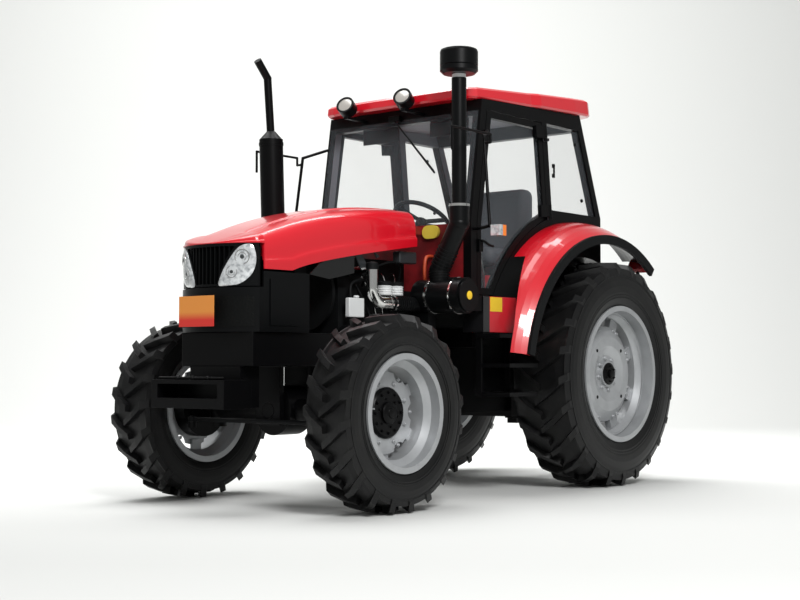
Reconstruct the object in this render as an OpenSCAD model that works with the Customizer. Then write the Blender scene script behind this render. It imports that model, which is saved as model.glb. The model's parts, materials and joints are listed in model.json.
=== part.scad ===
// Farm tractor with a closed cab, four driven wheels and a rear three-point linkage.
// Millimetres. X points forward, Y to the left, Z up. The ground is z = 0.

/* [Layout] */
// Front axle to rear axle
wheelbase = 2300; // [2260:10:2360]
// Front axle to the face of the tow bracket
front_overhang = 770; // [750:5:800]
// Rear axle to the ends of the lower links
rear_overhang = 1020; // [980:10:1080]

/* [Rear wheels] */
// Diameter over the lugs
rear_tyre_d = 1512; // [1480:4:1540]
// Width of the tyre
rear_tyre_w = 430; // [415:1:440]
// Diameter over the rim flanges
rear_rim_d = 914; // [890:2:940]
// Rim width as a share of the tyre width
rear_rim_share = 0.93; // [0.89:0.01:0.95]
// Distance between the wheel planes
rear_track = 1478; // [1460:2:1500]
// Diameter of the axle shaft
rear_shaft_d = 90; // [80:1:100]
// Lugs on each side of a tyre
rear_lugs = 24; // [20:1:26]

/* [Front wheels] */
// Diameter over the lugs
front_tyre_d = 1102; // [1080:2:1120]
// Width of the tyre
front_tyre_w = 310; // [296:1:316]
// Diameter over the rim flanges
front_rim_d = 661; // [640:1:680]
// Rim width as a share of the tyre width
front_rim_share = 0.935; // [0.89:0.005:0.95]
// Distance between the wheel planes
front_track = 1568; // [1556:2:1590]
// Wheel plane to the kingpin
kingpin_inset = 224; // [216:1:230]
// Diameter of a kingpin
kingpin_d = 50; // [40:1:56]
// Diameter of the planetary hubs
front_hub_d = 286; // [270:2:300]
// Lugs on each side of a tyre
front_lugs = 20; // [16:1:22]
// Height of the lugs on all tyres
lug_h = 40; // [30:1:45]

/* [Front frame] */
// Width of the frame beam
frame_w = 570; // [540:2:580]
// Top of the frame beam above the rear axle
frame_rise = 244; // [230:1:254]
// Height of the frame beam
frame_h = 190; // [170:2:200]
// Width of the tow bracket
tow_w = 580; // [540:2:590]
// Height of the tow bracket
tow_h = 156; // [146:1:166]
// Frame beam down to the top of the tow bracket
tow_drop = 75; // [65:1:85]
// Diameter of the tow pin hole
tow_pin_d = 32; // [25:1:40]

/* [Engine and bonnet] */
// Width of the engine block
engine_w = 420; // [380:5:440]
// Cab front to the rear edge of the bonnet
bonnet_gap = 170; // [150:2:190]
// Width of the bonnet at its rear edge
bonnet_w = 690; // [670:2:700]
// Width of the nose
nose_w = 620; // [600:2:640]
// How far the nose bows forward
nose_bow = 120; // [100:2:135]
// Top of the bonnet at its rear edge above the rear axle
bonnet_rise = 1039; // [1025:1:1055]
// Fall of the bonnet top from its rear edge to the nose
bonnet_drop = 262; // [250:1:270]
// Depth of the bonnet side at its rear edge
skirt_rear = 243; // [225:1:260]
// Fall from the bonnet top to the lower edge of its side near the nose
skirt_front = 447; // [435:1:460]
// Thickness of the bonnet shell
bonnet_t = 14; // [10:1:18]

/* [Cab] */
// Width over the cab sides
cab_w = 1270; // [1240:2:1290]
// Rear tyre to the front of the cab
cab_reach = 544; // [534:2:564]
// Rear axle to the back of the cab
cab_back = 240; // [220:2:260]
// Top of the floor above the rear axle
floor_rise = 444; // [434:2:460]
// Floor to the underside of the roof at the front
cab_h = 1285; // [1270:1:1300]
// Rise of the roof underside to the rear
roof_rise = 55; // [40:1:65]
// Height of the roof side at the front
roof_band = 70; // [60:1:80]
// Height added to the roof side at the rear
roof_wedge = 50; // [40:1:60]
// Depth of the side frames
side_t = 60; // [50:1:66]
// Width of a pillar
pillar_w = 60; // [52:1:66]
// Gap around the doors
door_gap = 5; // [5:1:8]
// Thickness of the glass
glass_t = 6; // [5:1:8]

/* [Fenders] */
// Wheel plane to the fender edge
fender_cover = 161; // [150:1:170]
// Rear tyre to the fender edge
fender_gap = 229; // [220:1:240]
// Rise of the fender from its edge to the cab
fender_rise = 105; // [90:1:115]
// Thickness of the fender sheet
fender_t = 12; // [8:1:16]

/* [Rear linkage] */
// Length of a lift arm between its pivots
lift_arm_l = 340; // [320:2:360]
// Rear tyre to the planes of the lower links
link_clear = 84; // [78:1:95]
// Bore of the lower link eyes
link_eye_d = 28.7; // [25:0.1:37]
// Diameter of the power take-off shaft
pto_d = 35; // [34.5:0.1:36]
// Diameter of the drawbar hole
drawbar_hole_d = 33; // [27:1:40]

/* [Hidden] */
fine = 48;
// gap between faces that belong together, and round a turning pin
fit = 0.3;
// overlap of joined shapes, and overshoot of cuts
lap = 1;

red = "#d3202a";
black = "#1c1d1f";
silver = "#a9adb1";
rubber = "#222222";
grey = "#55585c";
glass = "#9fb2bd";

overall_l = front_overhang + wheelbase + rear_overhang;
rear_x = rear_overhang - overall_l / 2;
front_x = rear_x + wheelbase;
rear_r = rear_tyre_d / 2;
rear_z = rear_r;
front_z = front_tyre_d / 2;
rear_y = rear_track / 2;
front_y = front_track / 2;
rear_rim_w = rear_rim_share * rear_tyre_w;
front_rim_w = front_rim_share * front_tyre_w;

// rims
flange_h = 25;
flange_t = 12;
rim_t = 9;
well_depth = 38;

// tyres
bead_step = 4;
bead_h = 12;
shoulder_h = lug_h + 5;
crown = 3;
lug_w = 40;
lug_flank = 8;
lug_root = 12;
lug_sweep = 50;

// front axle ends
kingpin_y = front_y - kingpin_inset;
boss_h = 150;
boss_r = kingpin_d / 2 + 23;
ear_t = 34;
ear_r = boss_r + 8;
ear_gap = 0.5;
web_gap = 6;
web_y = kingpin_y + ear_r + web_gap;
web_t = 28;
flange_l = 18;
knuckle_face = web_y + web_t + flange_l;
knuckle_flange_r = 115;
spindle_r = 50;
spindle_l = 60;
arm_l = 210;
arm_half = 22;
arm_t = ear_t;
tie_pin_r = 12;
tie_eye_r = 26;
tie_t = 30;
tie_bar_r = 13;
axle_r = 70;
axle_end_r = 46;
trunnion_r = 45;
trunnion_l = 135;
hanger_t = 35;
hanger_w = 190;
hanger_foot = 40;
diff_r = 145;
diff_l = 95;

// front wheels, from the wheel plane outwards
front_disc_y = -22;
front_disc_t = 14;
front_well_r = front_rim_d / 2 - flange_h - well_depth - rim_t;
front_disc_r = front_well_r - 30;
hub_r = front_hub_d / 2;
hub_flange = 32;
hub_bevel = 12;
hub_face = 14;
hub_gap = 5;
scallop_r = 52;
scallop_out = 22;
lug_plate_w = 72;
lug_plate_in = 34;
lug_plate_t = 21;

// rear wheels, from the wheel plane outwards
rear_disc_y = 62;
rear_disc_t = 14;
rear_dish = 26;
rear_well_r = rear_rim_d / 2 - flange_h - well_depth - rim_t;
rear_disc_r = rear_well_r - 63;
rear_hub_r = 86;
rear_hub_l = 20;
rear_bracket_w = 90;
rear_bracket_in = 26;
rear_bracket_t = 45;

// frame and tow bracket
frame_top = rear_z + frame_rise;
frame_low = frame_top - frame_h;
frame_reach = 550;
frame_tail = 240;
frame_front = front_x + frame_reach;
frame_rear = front_x - frame_tail;
tow_front = front_x + front_overhang;
tow_offset = 10;
tow_back = frame_front + tow_offset;
tow_wall = 50;
tow_roof = 22;
tow_sole = 56;
tow_top = frame_low - tow_drop;
tow_low = tow_top - tow_h;
tow_shank_l = 140;
tow_shank_w = 400;
tow_pin_back = 50;

// cab
cab_y = cab_w / 2;
cab_x0 = rear_x - cab_back;
cab_x1 = rear_x + rear_r + cab_reach;
floor_t = 50;
floor_top = rear_z + floor_rise;
floor_low = floor_top - floor_t;
sill_h = 50;
sill_top = floor_top + sill_h;
roof_low = floor_top + cab_h;
rail_h = 60;
header_h = 100;
roof_x1 = cab_x1 - 40;
roof_x0 = rear_x - 130;
inner_y = cab_y - side_t - fit;

// fenders
fender_x = rear_x + 110;
fender_z = rear_z - 62;
fender_y = rear_y + fender_cover;
fender_r = rear_r + fender_gap;
fender_a0 = 11;
fender_a1 = 127;
lip_h = 45;
lip_t = 22;
lip_over = 10;
blade_w = 85;
fender_top = fender_z + fender_r + fender_rise;

// posts and window edges, clear of the fenders
screen_rise = 500;
screen_low = floor_top + screen_rise;
screen_lean = 120;
tail_gap = 56;
tail_low = fender_top + tail_gap;
tail_lean = 250;
post_gap = 16;
post_low = fender_top + post_gap;
post_reach = 440;
post_x = rear_x + post_reach;
post_lean = 70;
quarter_gap = 66;
quarter_low = fender_top + quarter_gap;
back_wall_h = 300;
back_wall_t = 40;
function lerp(a, b, t) = a + (b - a) * t;
function roof_z(x) = roof_low + roof_rise * (roof_x1 - x) / (roof_x1 - roof_x0);
// front face of the windscreen posts, back face of the rear posts, front face of the door posts
function screen_x(z) = cab_x1 - screen_lean * max(0, z - screen_low) / (roof_low - screen_low);
function tail_x(z) = cab_x0 + tail_lean * max(0, z - tail_low) / (roof_low - tail_low);
function post_front(z) = post_x + post_lean * (z - post_low) / (roof_low - post_low);

// where the post lines meet the underside of the roof
roof_slope = roof_rise / (roof_x1 - roof_x0);
screen_slope = screen_lean / (roof_low - screen_low);
tail_slope = tail_lean / (roof_low - tail_low);
screen_top = (roof_low - fit + roof_slope * (roof_x1 - cab_x1 - screen_slope * screen_low))
  / (1 - roof_slope * screen_slope);
tail_top = (roof_low - fit + roof_slope * (roof_x1 - cab_x0 + tail_slope * tail_low))
  / (1 + roof_slope * tail_slope);
screen_top_x = screen_x(screen_top);
tail_top_x = tail_x(tail_top);

// doors
arch_x = rear_x + 50;
arch_z = fender_z;
arch_gap = 70;
arch_r = fender_r + fender_rise + arch_gap;
door_top = roof_low - rail_h;
door_t = 40;
door_frame_w = 42;
door_barrel_r = 16;
door_pin_r = 8;
door_axis_out = door_barrel_r + 4;
door_axis_y = cab_y + door_axis_out;
door_tilt = atan(post_lean / (roof_low - post_low));
hinge_low = 40;
hinge_step = 520;
hinge_heights = [post_low + hinge_low, post_low + hinge_low + hinge_step];
hinge_half = 40;
hinge_foot = 20;
hinge_strap = 110;
strap_t = 8;
strap_foot = 50;
pane_in = 20;

// wheel houses in the cab sides, over the rear tyres
house_t = 12;
house_gap = 56;
house_side = 44;
house_r = rear_r + house_gap;
house_y = rear_y - rear_tyre_w / 2 - house_side;

// engine
flywheel_t = 40;
bell_gap = 20;
engine_front = frame_rear;
engine_rear = cab_x1 + bell_gap;
engine_low = rear_z - 76;
engine_deck = rear_z + 524;
engine_cover = rear_z + 714;
sump_low = rear_z - 196;
bell_w = 480;
bell_low = rear_z - 156;
bell_top = rear_z + 394;
manifold_t = 60;
manifold_low = rear_z + 374;
manifold_h = 100;
manifold_in = 90;
fan_r = 220;
fan_t = 25;
fan_hub_r = 60;
fan_hub_l = 60;
fan_z = rear_z + 484;
pump_l = 280;
pump_w = 80;
pump_h = 110;
filter_r = 48;
filter_l = 110;
alternator_r = 68;
alternator_l = 130;

// transmission and rear axle
gearbox_rear = rear_x + 280;
gearbox_front = engine_rear - flywheel_t;
gearbox_w = 400;
gearbox_low = rear_z - 256;
gearbox_top = rear_z + 294;
mount_back = 340;
mount_l = 120;
mount_h = 120;
mount_half = house_y;
housing_tail = 330;
housing_rear = rear_x - housing_tail;
housing_low = rear_z - 296;
housing_top = rear_z + 344;
trumpet_r = 110;
trumpet_in = 179;
trumpet_y = rear_y - trumpet_in;
shaft_l = 120;
shaft_r = rear_shaft_d / 2;

// bonnet: the nose is an arc in plan
nose_reach = 640;
nose_tip = front_x + nose_reach;
nose_r = (pow(nose_w / 2, 2) + pow(nose_bow, 2)) / (2 * nose_bow);
nose_cx = nose_tip - nose_r;
nose_a = asin(nose_w / 2 / nose_r);
nose_edge = nose_tip - nose_bow;
bonnet_top = rear_z + bonnet_rise;
brow_h = 305;
brow_low = bonnet_top - brow_h;
nose_h = 252;
grille_low = frame_top + nose_h;
cowl_gap = 6;
bonnet_x0 = cab_x1 + bonnet_gap;
bonnet_ref = nose_tip - 90;
bonnet_side_rear = bonnet_top - skirt_rear;
bonnet_side_front = bonnet_top - skirt_front;
brow_lap = 38;
hinge_in = 30;
hinge_drop = 70;
hinge_x = bonnet_x0 + hinge_in;
hinge_z = bonnet_top - hinge_drop;
hinge_y = 240;
hinge_t = 20;
hinge_pin_r = 10;
hinge_arm = 120;
hinge_gap = 1;

// half section of the bonnet: share of the half width, share of the height
hood_section = [[1, 0], [1, 0.2], [0.97, 0.28], [0.955, 0.55], [0.905, 0.76], [0.8, 0.885],
  [0.62, 0.945], [0.5, 0.962], [0.45, 0.99], [0.24, 1], [0, 1]];

function bonnet_u(x) = (x - bonnet_x0) / (bonnet_ref - bonnet_x0);
function bonnet_z(x) = bonnet_top - bonnet_drop * pow(max(0, bonnet_u(x)), 2.2);
function skirt_z(x) = bonnet_side_front
  + (bonnet_side_rear - bonnet_side_front) * pow(max(0, 1 - bonnet_u(x) / 0.79), 0.75);
function nose_half(x) = sqrt(max(0, pow(nose_r, 2) - pow(x - nose_cx, 2)));
function bonnet_half(x) = x <= nose_edge
  ? lerp(bonnet_w / 2, nose_w / 2, pow((x - bonnet_x0) / (nose_edge - bonnet_x0), 1.5))
  : nose_half(x);
function bonnet_low(x) = x > nose_edge - brow_lap ? brow_low : skirt_z(x);
// underside of the bonnet at x, y
function bonnet_under(x, y) = let (z0 = bonnet_low(x))
  z0 + (bonnet_z(x) - bonnet_t - z0) * lookup(y / (bonnet_half(x) - bonnet_t), hood_section);

// nose lamps and grille opening: share of the half width, share of the height
lamp_shape = [[0.324, 0.03], [0.525, 0.025], [0.724, 0.08], [0.887, 0.29], [0.944, 0.6], [0.908, 0.9],
  [0.824, 0.965], [0.667, 0.874], [0.492, 0.567], [0.364, 0.265]];
mesh_shape = [[-0.27, 0.05], [0.27, 0.05], [0.315, 0.28], [0.44, 0.6], [0.62, 0.93],
  [-0.62, 0.93], [-0.44, 0.6], [-0.315, 0.28]];
lamp_mid = [0.66, 0.52];
lamp_rim = 1.05;
lamp_depth = 34;
mask_t = 12;
mask_in = 4;
mesh_in = 50;
rib_t = 6;
rib_out = 10;
rib_step = 4;

// rear linkage
link_y = rear_y - rear_tyre_w / 2 - link_clear;
link_t = 30;
link_h = 56;
link_pivot = [rear_x - 120, rear_z - 256];
link_pivot_r = 38;
link_eye_r = link_eye_d / 2 + 21;
link_end_x = rear_x - rear_overhang + link_eye_r;
link_pin_r = 14;
link_eye_w = 45;
pin_end = 8;
rock_pivot = [rear_x - 290, rear_z + 284];
rock_r = 40;
rock_boss_r = 58;
side_gap = 2;
rod_y = link_y - link_t - side_gap;
rod_t = 30;
rod_eye_r = 30;
arm_y = rod_y - rod_t - side_gap;
arm_plate_t = 30;
arm_plate_h = 60;
arm_eye_r = 34;
rod_pin_r = 12;
housing_clear = 116;
housing_w = 2 * (arm_y - arm_plate_t - housing_clear);
bracket_l = 100;
bracket_half = 40;
ear_in = 28;
top_ear_t = 20;
top_ear_l = 90;
top_ear_h = 100;
top_ear_low = rear_z + 144;
top_pin_r = 12.9;
top_pin_back = 60;

module both_sides() {
  children();
  mirror([0, 1, 0]) children();
}

// plate in the X-Z plane, from y to y + t
module plate_y(pts, y, t) {
  translate([0, y + t, 0]) rotate([90, 0, 0]) linear_extrude(t) polygon(pts);
}

// box between two corners
module box(a, b) {
  translate(a) cube(b - a);
}

// box from -half to +half
module wide_box(x0, x1, half, z0, z1) {
  box([x0, -half, z0], [x1, half, z1]);
}

// round bar along Y
module bar_y(x, z, r, y0, y1) {
  translate([x, y0, z]) rotate([-90, 0, 0]) cylinder(h = y1 - y0, r = r, $fn = fine);
}

// upright round bar
module bar_z(x, y, r, z0, z1) {
  translate([x, y, z0]) cylinder(h = z1 - z0, r = r, $fn = fine);
}

// round bar between two points
module bar(p, q, r) {
  v = q - p;
  translate(p) rotate([0, acos(v.z / norm(v)), atan2(v.y, v.x)])
    cylinder(h = norm(v), r = r, $fn = fine);
}

// round bar bent through points, slightly swollen at the bends
module bent_bar(pts, r) {
  for (i = [1 : len(pts) - 1]) bar(pts[i - 1], pts[i], r);
  for (i = [1 : len(pts) - 2]) translate(pts[i]) sphere(r = 1.03 * r, $fn = fine);
}

// turned piece about Y, profile in (radius, y)
module turned_y(profile) {
  rotate([-90, 0, 0]) rotate_extrude($fn = fine) polygon(profile);
}

// sector of a ring about the nose axis
module nose_ring(r0, r1, a, z0, z1) {
  translate([nose_cx, 0, 0]) rotate([0, 0, -a])
    rotate_extrude(angle = 2 * a, $fn = fine) polygon([[r0, z0], [r1, z0], [r1, z1], [r0, z1]]);
}

// outer and inner side of a rim as (radius, y)
function rim_outer(d, w) =
  let (rf = d / 2, rs = rf - flange_h, rw = rs - well_depth, h = w / 2)
  [[0, -h], [rf, -h], [rf, flange_t - h], [rs, flange_t - h], [rs, -0.55 * h], [rw, -0.35 * h],
   [rw, 0.35 * h], [rs, 0.55 * h], [rs, h - flange_t], [rf, h - flange_t], [rf, h], [0, h]];

function rim_inner(d, w) =
  let (rs = d / 2 - flange_h - rim_t, rw = rs - well_depth, h = w / 2)
  [[0, -h - lap], [rs, -h - lap], [rs, -0.58 * h], [rw, -0.38 * h],
   [rw, 0.38 * h], [rs, 0.58 * h], [rs, h + lap], [0, h + lap]];

module rim_ring(d, w) {
  difference() {
    turned_y(rim_outer(d, w));
    turned_y(rim_inner(d, w));
  }
}

// side wall of a tyre as (radius, y)
function tyre_side(d, w, rim_d) =
  let (r0 = rim_d / 2 + bead_h, r1 = d / 2 - shoulder_h)
  [for (i = [0 : 6]) let (t = i / 6) [lerp(r0, r1, t), w / 2 * (1 - 0.1 * pow(2 * t - 1, 2))]];

// tyre without its lugs as (radius, y)
function carcass(d, w, rim_d, rim_w) =
  let (seat_r = rim_d / 2 - flange_h + fit, bead_r = rim_d / 2 + bead_step,
    yb = rim_w / 2 - flange_t - fit, side = tyre_side(d, w, rim_d), r = d / 2 - lug_h)
  concat([[seat_r, -yb], [seat_r, yb], [bead_r, yb]], side,
    [[r - 2 * crown, 0.42 * w], [r, 0.3 * w], [r + crown, 0], [r, -0.3 * w], [r - 2 * crown, -0.42 * w]],
    [for (i = [6 : -1 : 0]) [side[i].x, -side[i].y]], [[bead_r, -yb]]);

// tread lug; its end at the middle of the tyre leads in forward rolling
module lug(d, w, side, a) {
  tip = d / 2;
  root = tip - lug_h - lug_root;
  // share of the tyre width, outer radius, inner radius, half width outside
  stations = [[-0.03, tip, root, 0.45 * lug_w], [0.2, tip, root, 0.5 * lug_w],
    [0.41, tip - 0.15 * lug_h, root - lug_root, 0.6 * lug_w],
    [0.485, tip - 1.55 * lug_h, tip - 2.55 * lug_h, 0.6 * lug_w]];
  function at(s, r, o) =
    let (t = a - lug_sweep * abs(s[0]) * w / tip + 180 / PI * o / tip)
    [r * sin(t), side * s[0] * w, r * cos(t)];
  pts = [for (s = stations) each [at(s, s[2], -s[3] - lug_flank), at(s, s[1], -s[3]),
    at(s, s[1], s[3]), at(s, s[2], s[3] + lug_flank)]];
  n = len(stations);
  quads = concat([for (i = [0 : n - 2]) for (j = [0 : 3]) let (k = (j + 1) % 4)
      [4 * i + j, 4 * i + k, 4 * i + 4 + k, 4 * i + 4 + j]],
    [[3, 2, 1, 0], [4 * n - 4, 4 * n - 3, 4 * n - 2, 4 * n - 1]]);
  tri = [for (q = quads) each [[q[0], q[1], q[2]], [q[0], q[2], q[3]]]];
  polyhedron(pts, side < 0 ? tri : [for (t = tri) [t[2], t[1], t[0]]]);
}

module lugged_tyre(d, w, rim_d, rim_w, n) {
  turned_y(carcass(d, w, rim_d, rim_w));
  for (i = [0 : n - 1]) {
    lug(d, w, 1, 360 * i / n);
    lug(d, w, -1, 360 * (i + 0.5) / n);
  }
}

module at_front_wheel() { translate([front_x, front_y, front_z]) children(); }
module at_rear_wheel() { translate([rear_x, rear_y, rear_z]) children(); }

module front_tyre() {
  at_front_wheel() lugged_tyre(front_tyre_d, front_tyre_w, front_rim_d, front_rim_w, front_lugs);
}

module rear_tyre() {
  at_rear_wheel() lugged_tyre(rear_tyre_d, rear_tyre_w, rear_rim_d, rear_rim_w, rear_lugs);
}

module front_rim() {
  y1 = front_disc_y + front_disc_t;
  at_front_wheel() {
    rim_ring(front_rim_d, front_rim_w);
    difference() {
      turned_y([[hub_r + fit, front_disc_y], [front_disc_r, front_disc_y], [front_disc_r, y1],
        [hub_r + fit, y1]]);
      for (a = [0 : 60 : 300]) rotate([0, a, 0])
        bar_y(front_disc_r + scallop_out, 0, scallop_r, front_disc_y - lap, y1 + lap);
    }
    for (a = [30 : 60 : 330]) rotate([0, a, 0])
      box([front_disc_r - lug_plate_in, y1 - lug_plate_t - front_disc_t + bead_step, -lug_plate_w / 2],
        [front_well_r + bead_step, front_disc_y + bead_step, lug_plate_w / 2]);
  }
}

module front_hub() {
  back = knuckle_face + hub_gap - front_y;
  bore_end = knuckle_face + spindle_l + hub_gap - front_y;
  at_front_wheel() turned_y([[spindle_r + fit, back], [hub_r + hub_flange, back],
    [hub_r + hub_flange, front_disc_y - fit], [hub_r, front_disc_y - fit], [hub_r, hub_face - hub_bevel],
    [hub_r - hub_bevel, hub_face], [0, hub_face], [0, bore_end], [spindle_r + fit, bore_end]]);
}

module rear_rim() {
  y0 = rear_disc_y;
  y1 = rear_disc_y + rear_dish;
  t = rear_disc_t;
  r = rear_disc_r;
  at_rear_wheel() {
    rim_ring(rear_rim_d, rear_rim_w);
    turned_y([[0, y0], [0.4 * r, y0], [0.59 * r, y1], [0.776 * r, y1], [r, y0 - t], [r, y0],
      [0.782 * r, y1 + t], [0.584 * r, y1 + t], [0.394 * r, y0 + t], [rear_hub_r, y0 + t],
      [rear_hub_r, y0 + t + rear_hub_l], [0, y0 + t + rear_hub_l]]);
    for (a = [22.5 : 45 : 360]) rotate([0, a, 0])
      box([r - rear_bracket_in, y0 - t / 2 - rear_bracket_t, -rear_bracket_w / 2],
        [rear_well_r + bead_step, y0 - t / 2, rear_bracket_w / 2]);
    bar_y(0, 0, shaft_r, trumpet_y - shaft_l - rear_y, y0 + lap);
  }
}

module knuckle() {
  top = front_z + boss_h / 2 + ear_gap;
  low = front_z - boss_h / 2 - ear_gap;
  pin_x = front_x + arm_l;
  for (z = [top, low - ear_t]) {
    bar_z(front_x, kingpin_y, ear_r, z, z + ear_t);
    box([front_x - ear_r, kingpin_y, z], [front_x + ear_r, web_y + web_t, z + ear_t]);
  }
  box([front_x - ear_r, web_y, low - ear_t], [front_x + ear_r, web_y + web_t, top + ear_t]);
  bar_y(front_x, front_z, knuckle_flange_r, web_y + web_t - lap, knuckle_face);
  bar_y(front_x, front_z, spindle_r, knuckle_face - lap, knuckle_face + spindle_l);
  bar_z(front_x, kingpin_y, kingpin_d / 2, low - ear_t, top + ear_t);
  box([front_x, kingpin_y - arm_half, low - arm_t], [pin_x, kingpin_y + arm_half, low]);
  bar_z(pin_x, kingpin_y, tie_eye_r, low - arm_t, low);
  bar_z(pin_x, kingpin_y, tie_pin_r, low - lap, low + tie_t + web_gap);
}

module tie_rod() {
  z = front_z - boss_h / 2;
  x = front_x + arm_l;
  color(grey) difference() {
    union() {
      both_sides() bar_z(x, kingpin_y, tie_eye_r, z, z + tie_t);
      bar_y(x, z + tie_t / 2, tie_bar_r, -kingpin_y, kingpin_y);
    }
    both_sides() bar_z(x, kingpin_y, tie_pin_r + fit, z - lap, z + tie_t + lap);
  }
}

module front_axle() {
  color(black) difference() {
    union() {
      bar_y(front_x, front_z, axle_r, axle_r - kingpin_y, kingpin_y - axle_r);
      bar_y(front_x, front_z, axle_end_r, -kingpin_y, kingpin_y);
      bar([front_x - diff_l, 0, front_z], [front_x + diff_l, 0, front_z], diff_r);
      bar([front_x - trunnion_l, 0, front_z], [front_x + trunnion_l, 0, front_z], trunnion_r);
      both_sides() bar_z(front_x, kingpin_y, boss_r, front_z - boss_h / 2, front_z + boss_h / 2);
    }
    both_sides() bar_z(front_x, kingpin_y, kingpin_d / 2 + fit, front_z - boss_h, front_z + boss_h);
  }
}

module front_frame() {
  x1 = front_x + trunnion_l;
  color(black) difference() {
    union() {
      wide_box(frame_rear, frame_front, frame_w / 2, frame_low, frame_top);
      for (x = [front_x - trunnion_l, x1 - hanger_t])
        wide_box(x, x + hanger_t, hanger_w / 2, front_z - trunnion_r - hanger_foot, frame_low + lap);
    }
    bar([front_x - trunnion_l - lap, 0, front_z], [x1 + lap, 0, front_z], trunnion_r + fit);
  }
}

module tow_bracket() {
  color(black) difference() {
    union() {
      wide_box(tow_back, tow_front, tow_w / 2, tow_low, tow_top);
      wide_box(frame_front - tow_shank_l, tow_back + lap, tow_shank_w / 2, tow_low, frame_low);
    }
    wide_box(tow_back + tow_wall, tow_front + lap, tow_w / 2 - tow_wall, tow_low + tow_sole,
      tow_top - tow_roof);
    bar_z(tow_front - tow_pin_back, 0, tow_pin_d / 2, tow_low - lap, tow_top + lap);
  }
}

radiator_back = 90;
radiator_t = 100;
radiator_w = 520;
radiator_h = 450;

module radiator() {
  color(grey) wide_box(front_x + radiator_back, front_x + radiator_back + radiator_t, radiator_w / 2,
    frame_top, frame_top + radiator_h);
}

cover_in = 40;
cover_w = 300;
sump_in = 60;
sump_w = 340;
pump_in = 230;
filter_in = 150;

module engine() {
  side = engine_w / 2;
  color(grey) {
    wide_box(engine_rear, engine_front, side, engine_low, engine_deck);
    wide_box(engine_rear + cover_in, engine_front - sump_in, cover_w / 2, engine_deck - lap, engine_cover);
    wide_box(engine_rear + sump_in, engine_front - sump_in, sump_w / 2, sump_low, engine_low + lap);
    wide_box(gearbox_front, engine_rear + lap, bell_w / 2, bell_low, bell_top);
    both_sides() box([engine_rear + manifold_in, side - lap, manifold_low],
      [engine_front - manifold_in, side + manifold_t, manifold_low + manifold_h]);
    bar([engine_front - lap, 0, fan_z], [engine_front + fan_hub_l, 0, fan_z], fan_hub_r);
    bar([engine_front + fan_hub_l - fan_t, 0, fan_z], [engine_front + fan_hub_l, 0, fan_z], fan_r);
    // injection pump, oil filter and alternator
    box([engine_rear + pump_in, side - lap, rear_z + pump_w], [engine_rear + pump_in + pump_l, side + pump_w,
      rear_z + pump_w + pump_h]);
    bar_y(engine_rear + filter_in, rear_z, filter_r, side - lap, side + filter_l);
    bar([engine_front - alternator_l, side + manifold_t, rear_z + pump_in],
      [engine_front - lap, side + manifold_t, rear_z + pump_in], alternator_r);
  }
}

module transmission() {
  color(black) {
    wide_box(gearbox_rear, gearbox_front, gearbox_w / 2, gearbox_low, gearbox_top);
    wide_box(cab_x1 - mount_back, cab_x1 - mount_back + mount_l, mount_half, gearbox_top - mount_h,
      gearbox_top - lap);
  }
}

module rear_axle() {
  color(black) difference() {
    union() {
      wide_box(housing_rear, gearbox_rear, housing_w / 2, housing_low, housing_top);
      bar_y(rear_x, rear_z, trumpet_r, -trumpet_y, trumpet_y);
      both_sides() {
        box([link_pivot.x - bracket_half, link_y - link_t - bracket_half, link_pivot.y - bracket_half],
          [link_pivot.x - bracket_half + bracket_l, link_y - link_t / 2 - side_gap, rear_z]);
        bar_y(link_pivot.x, link_pivot.y, link_pin_r, link_y - link_t, link_y + link_t / 2 + pin_end);
        box([housing_rear - top_ear_l, ear_in, top_ear_low],
          [housing_rear + lap, ear_in + top_ear_t, top_ear_low + top_ear_h]);
      }
    }
    bar_y(rock_pivot.x, rock_pivot.y, rock_r + fit, -housing_w, housing_w);
    both_sides() bar_y(rear_x, rear_z, shaft_r + fit, trumpet_y - shaft_l - web_gap, trumpet_y + lap);
    bar_y(housing_rear - top_pin_back, top_ear_low + top_pin_back, top_pin_r, -link_y, link_y);
  }
}

bar_l = 480;
bar_w = 80;
bar_t = 35;
bar_hole_in = 40;
bar_drop = 60;
bar_root = 60;
clevis_l = 160;
clevis_w = 150;
clevis_in = 20;
pto_l = 90;
pto_rise = 140;

module drawbar() {
  low = housing_low - bar_drop;
  x0 = housing_rear - bar_l;
  color(black) {
    difference() {
      wide_box(x0, rear_x - bar_root, bar_w / 2, low, low + bar_t);
      bar_z(x0 + bar_hole_in, 0, drawbar_hole_d / 2, low - lap, low + bar_t + lap);
    }
    wide_box(rear_x - bar_root - clevis_in - clevis_l, rear_x - bar_root - clevis_in, clevis_w / 2,
      low + bar_t - lap, housing_low);
    bar([housing_rear - pto_l, 0, housing_low + pto_rise], [housing_rear, 0, housing_low + pto_rise],
      pto_d / 2);
  }
}

cowl_t = 12;
panel_back = 510;
panel_front = 200;
panel_slant = 95;
panel_low = 36;
panel_top = 42;
panel_t = 6;
mask_room = 30;

module nose_cowl() {
  x0 = nose_tip - panel_back - cowl_t;
  x1 = nose_tip - panel_front;
  top = bonnet_side_front - cowl_t;
  step = grille_low - cowl_gap;
  color(black) {
    nose_ring(nose_r - cowl_t, nose_r, nose_a, frame_top, step);
    both_sides() {
      plate_y([[x0, frame_top], [nose_edge + lap, frame_top], [nose_edge + lap, step + lap],
        [nose_edge - mask_room, step + lap], [nose_edge - mask_room, top], [x0, top]],
        nose_w / 2 - cowl_t, cowl_t);
      // raised side panel
      plate_y([[x0 + cowl_t, top - panel_top], [x1, top - panel_top], [x1, frame_top + panel_low],
        [x0 + panel_slant, frame_top + panel_low]], nose_w / 2 - lap, panel_t + lap);
    }
  }
}

plate_out = 60;
plate_t = 4;
plate_w = 280;
plate_h = 170;
plate_low = 28;
plate_arm = 20;

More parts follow.
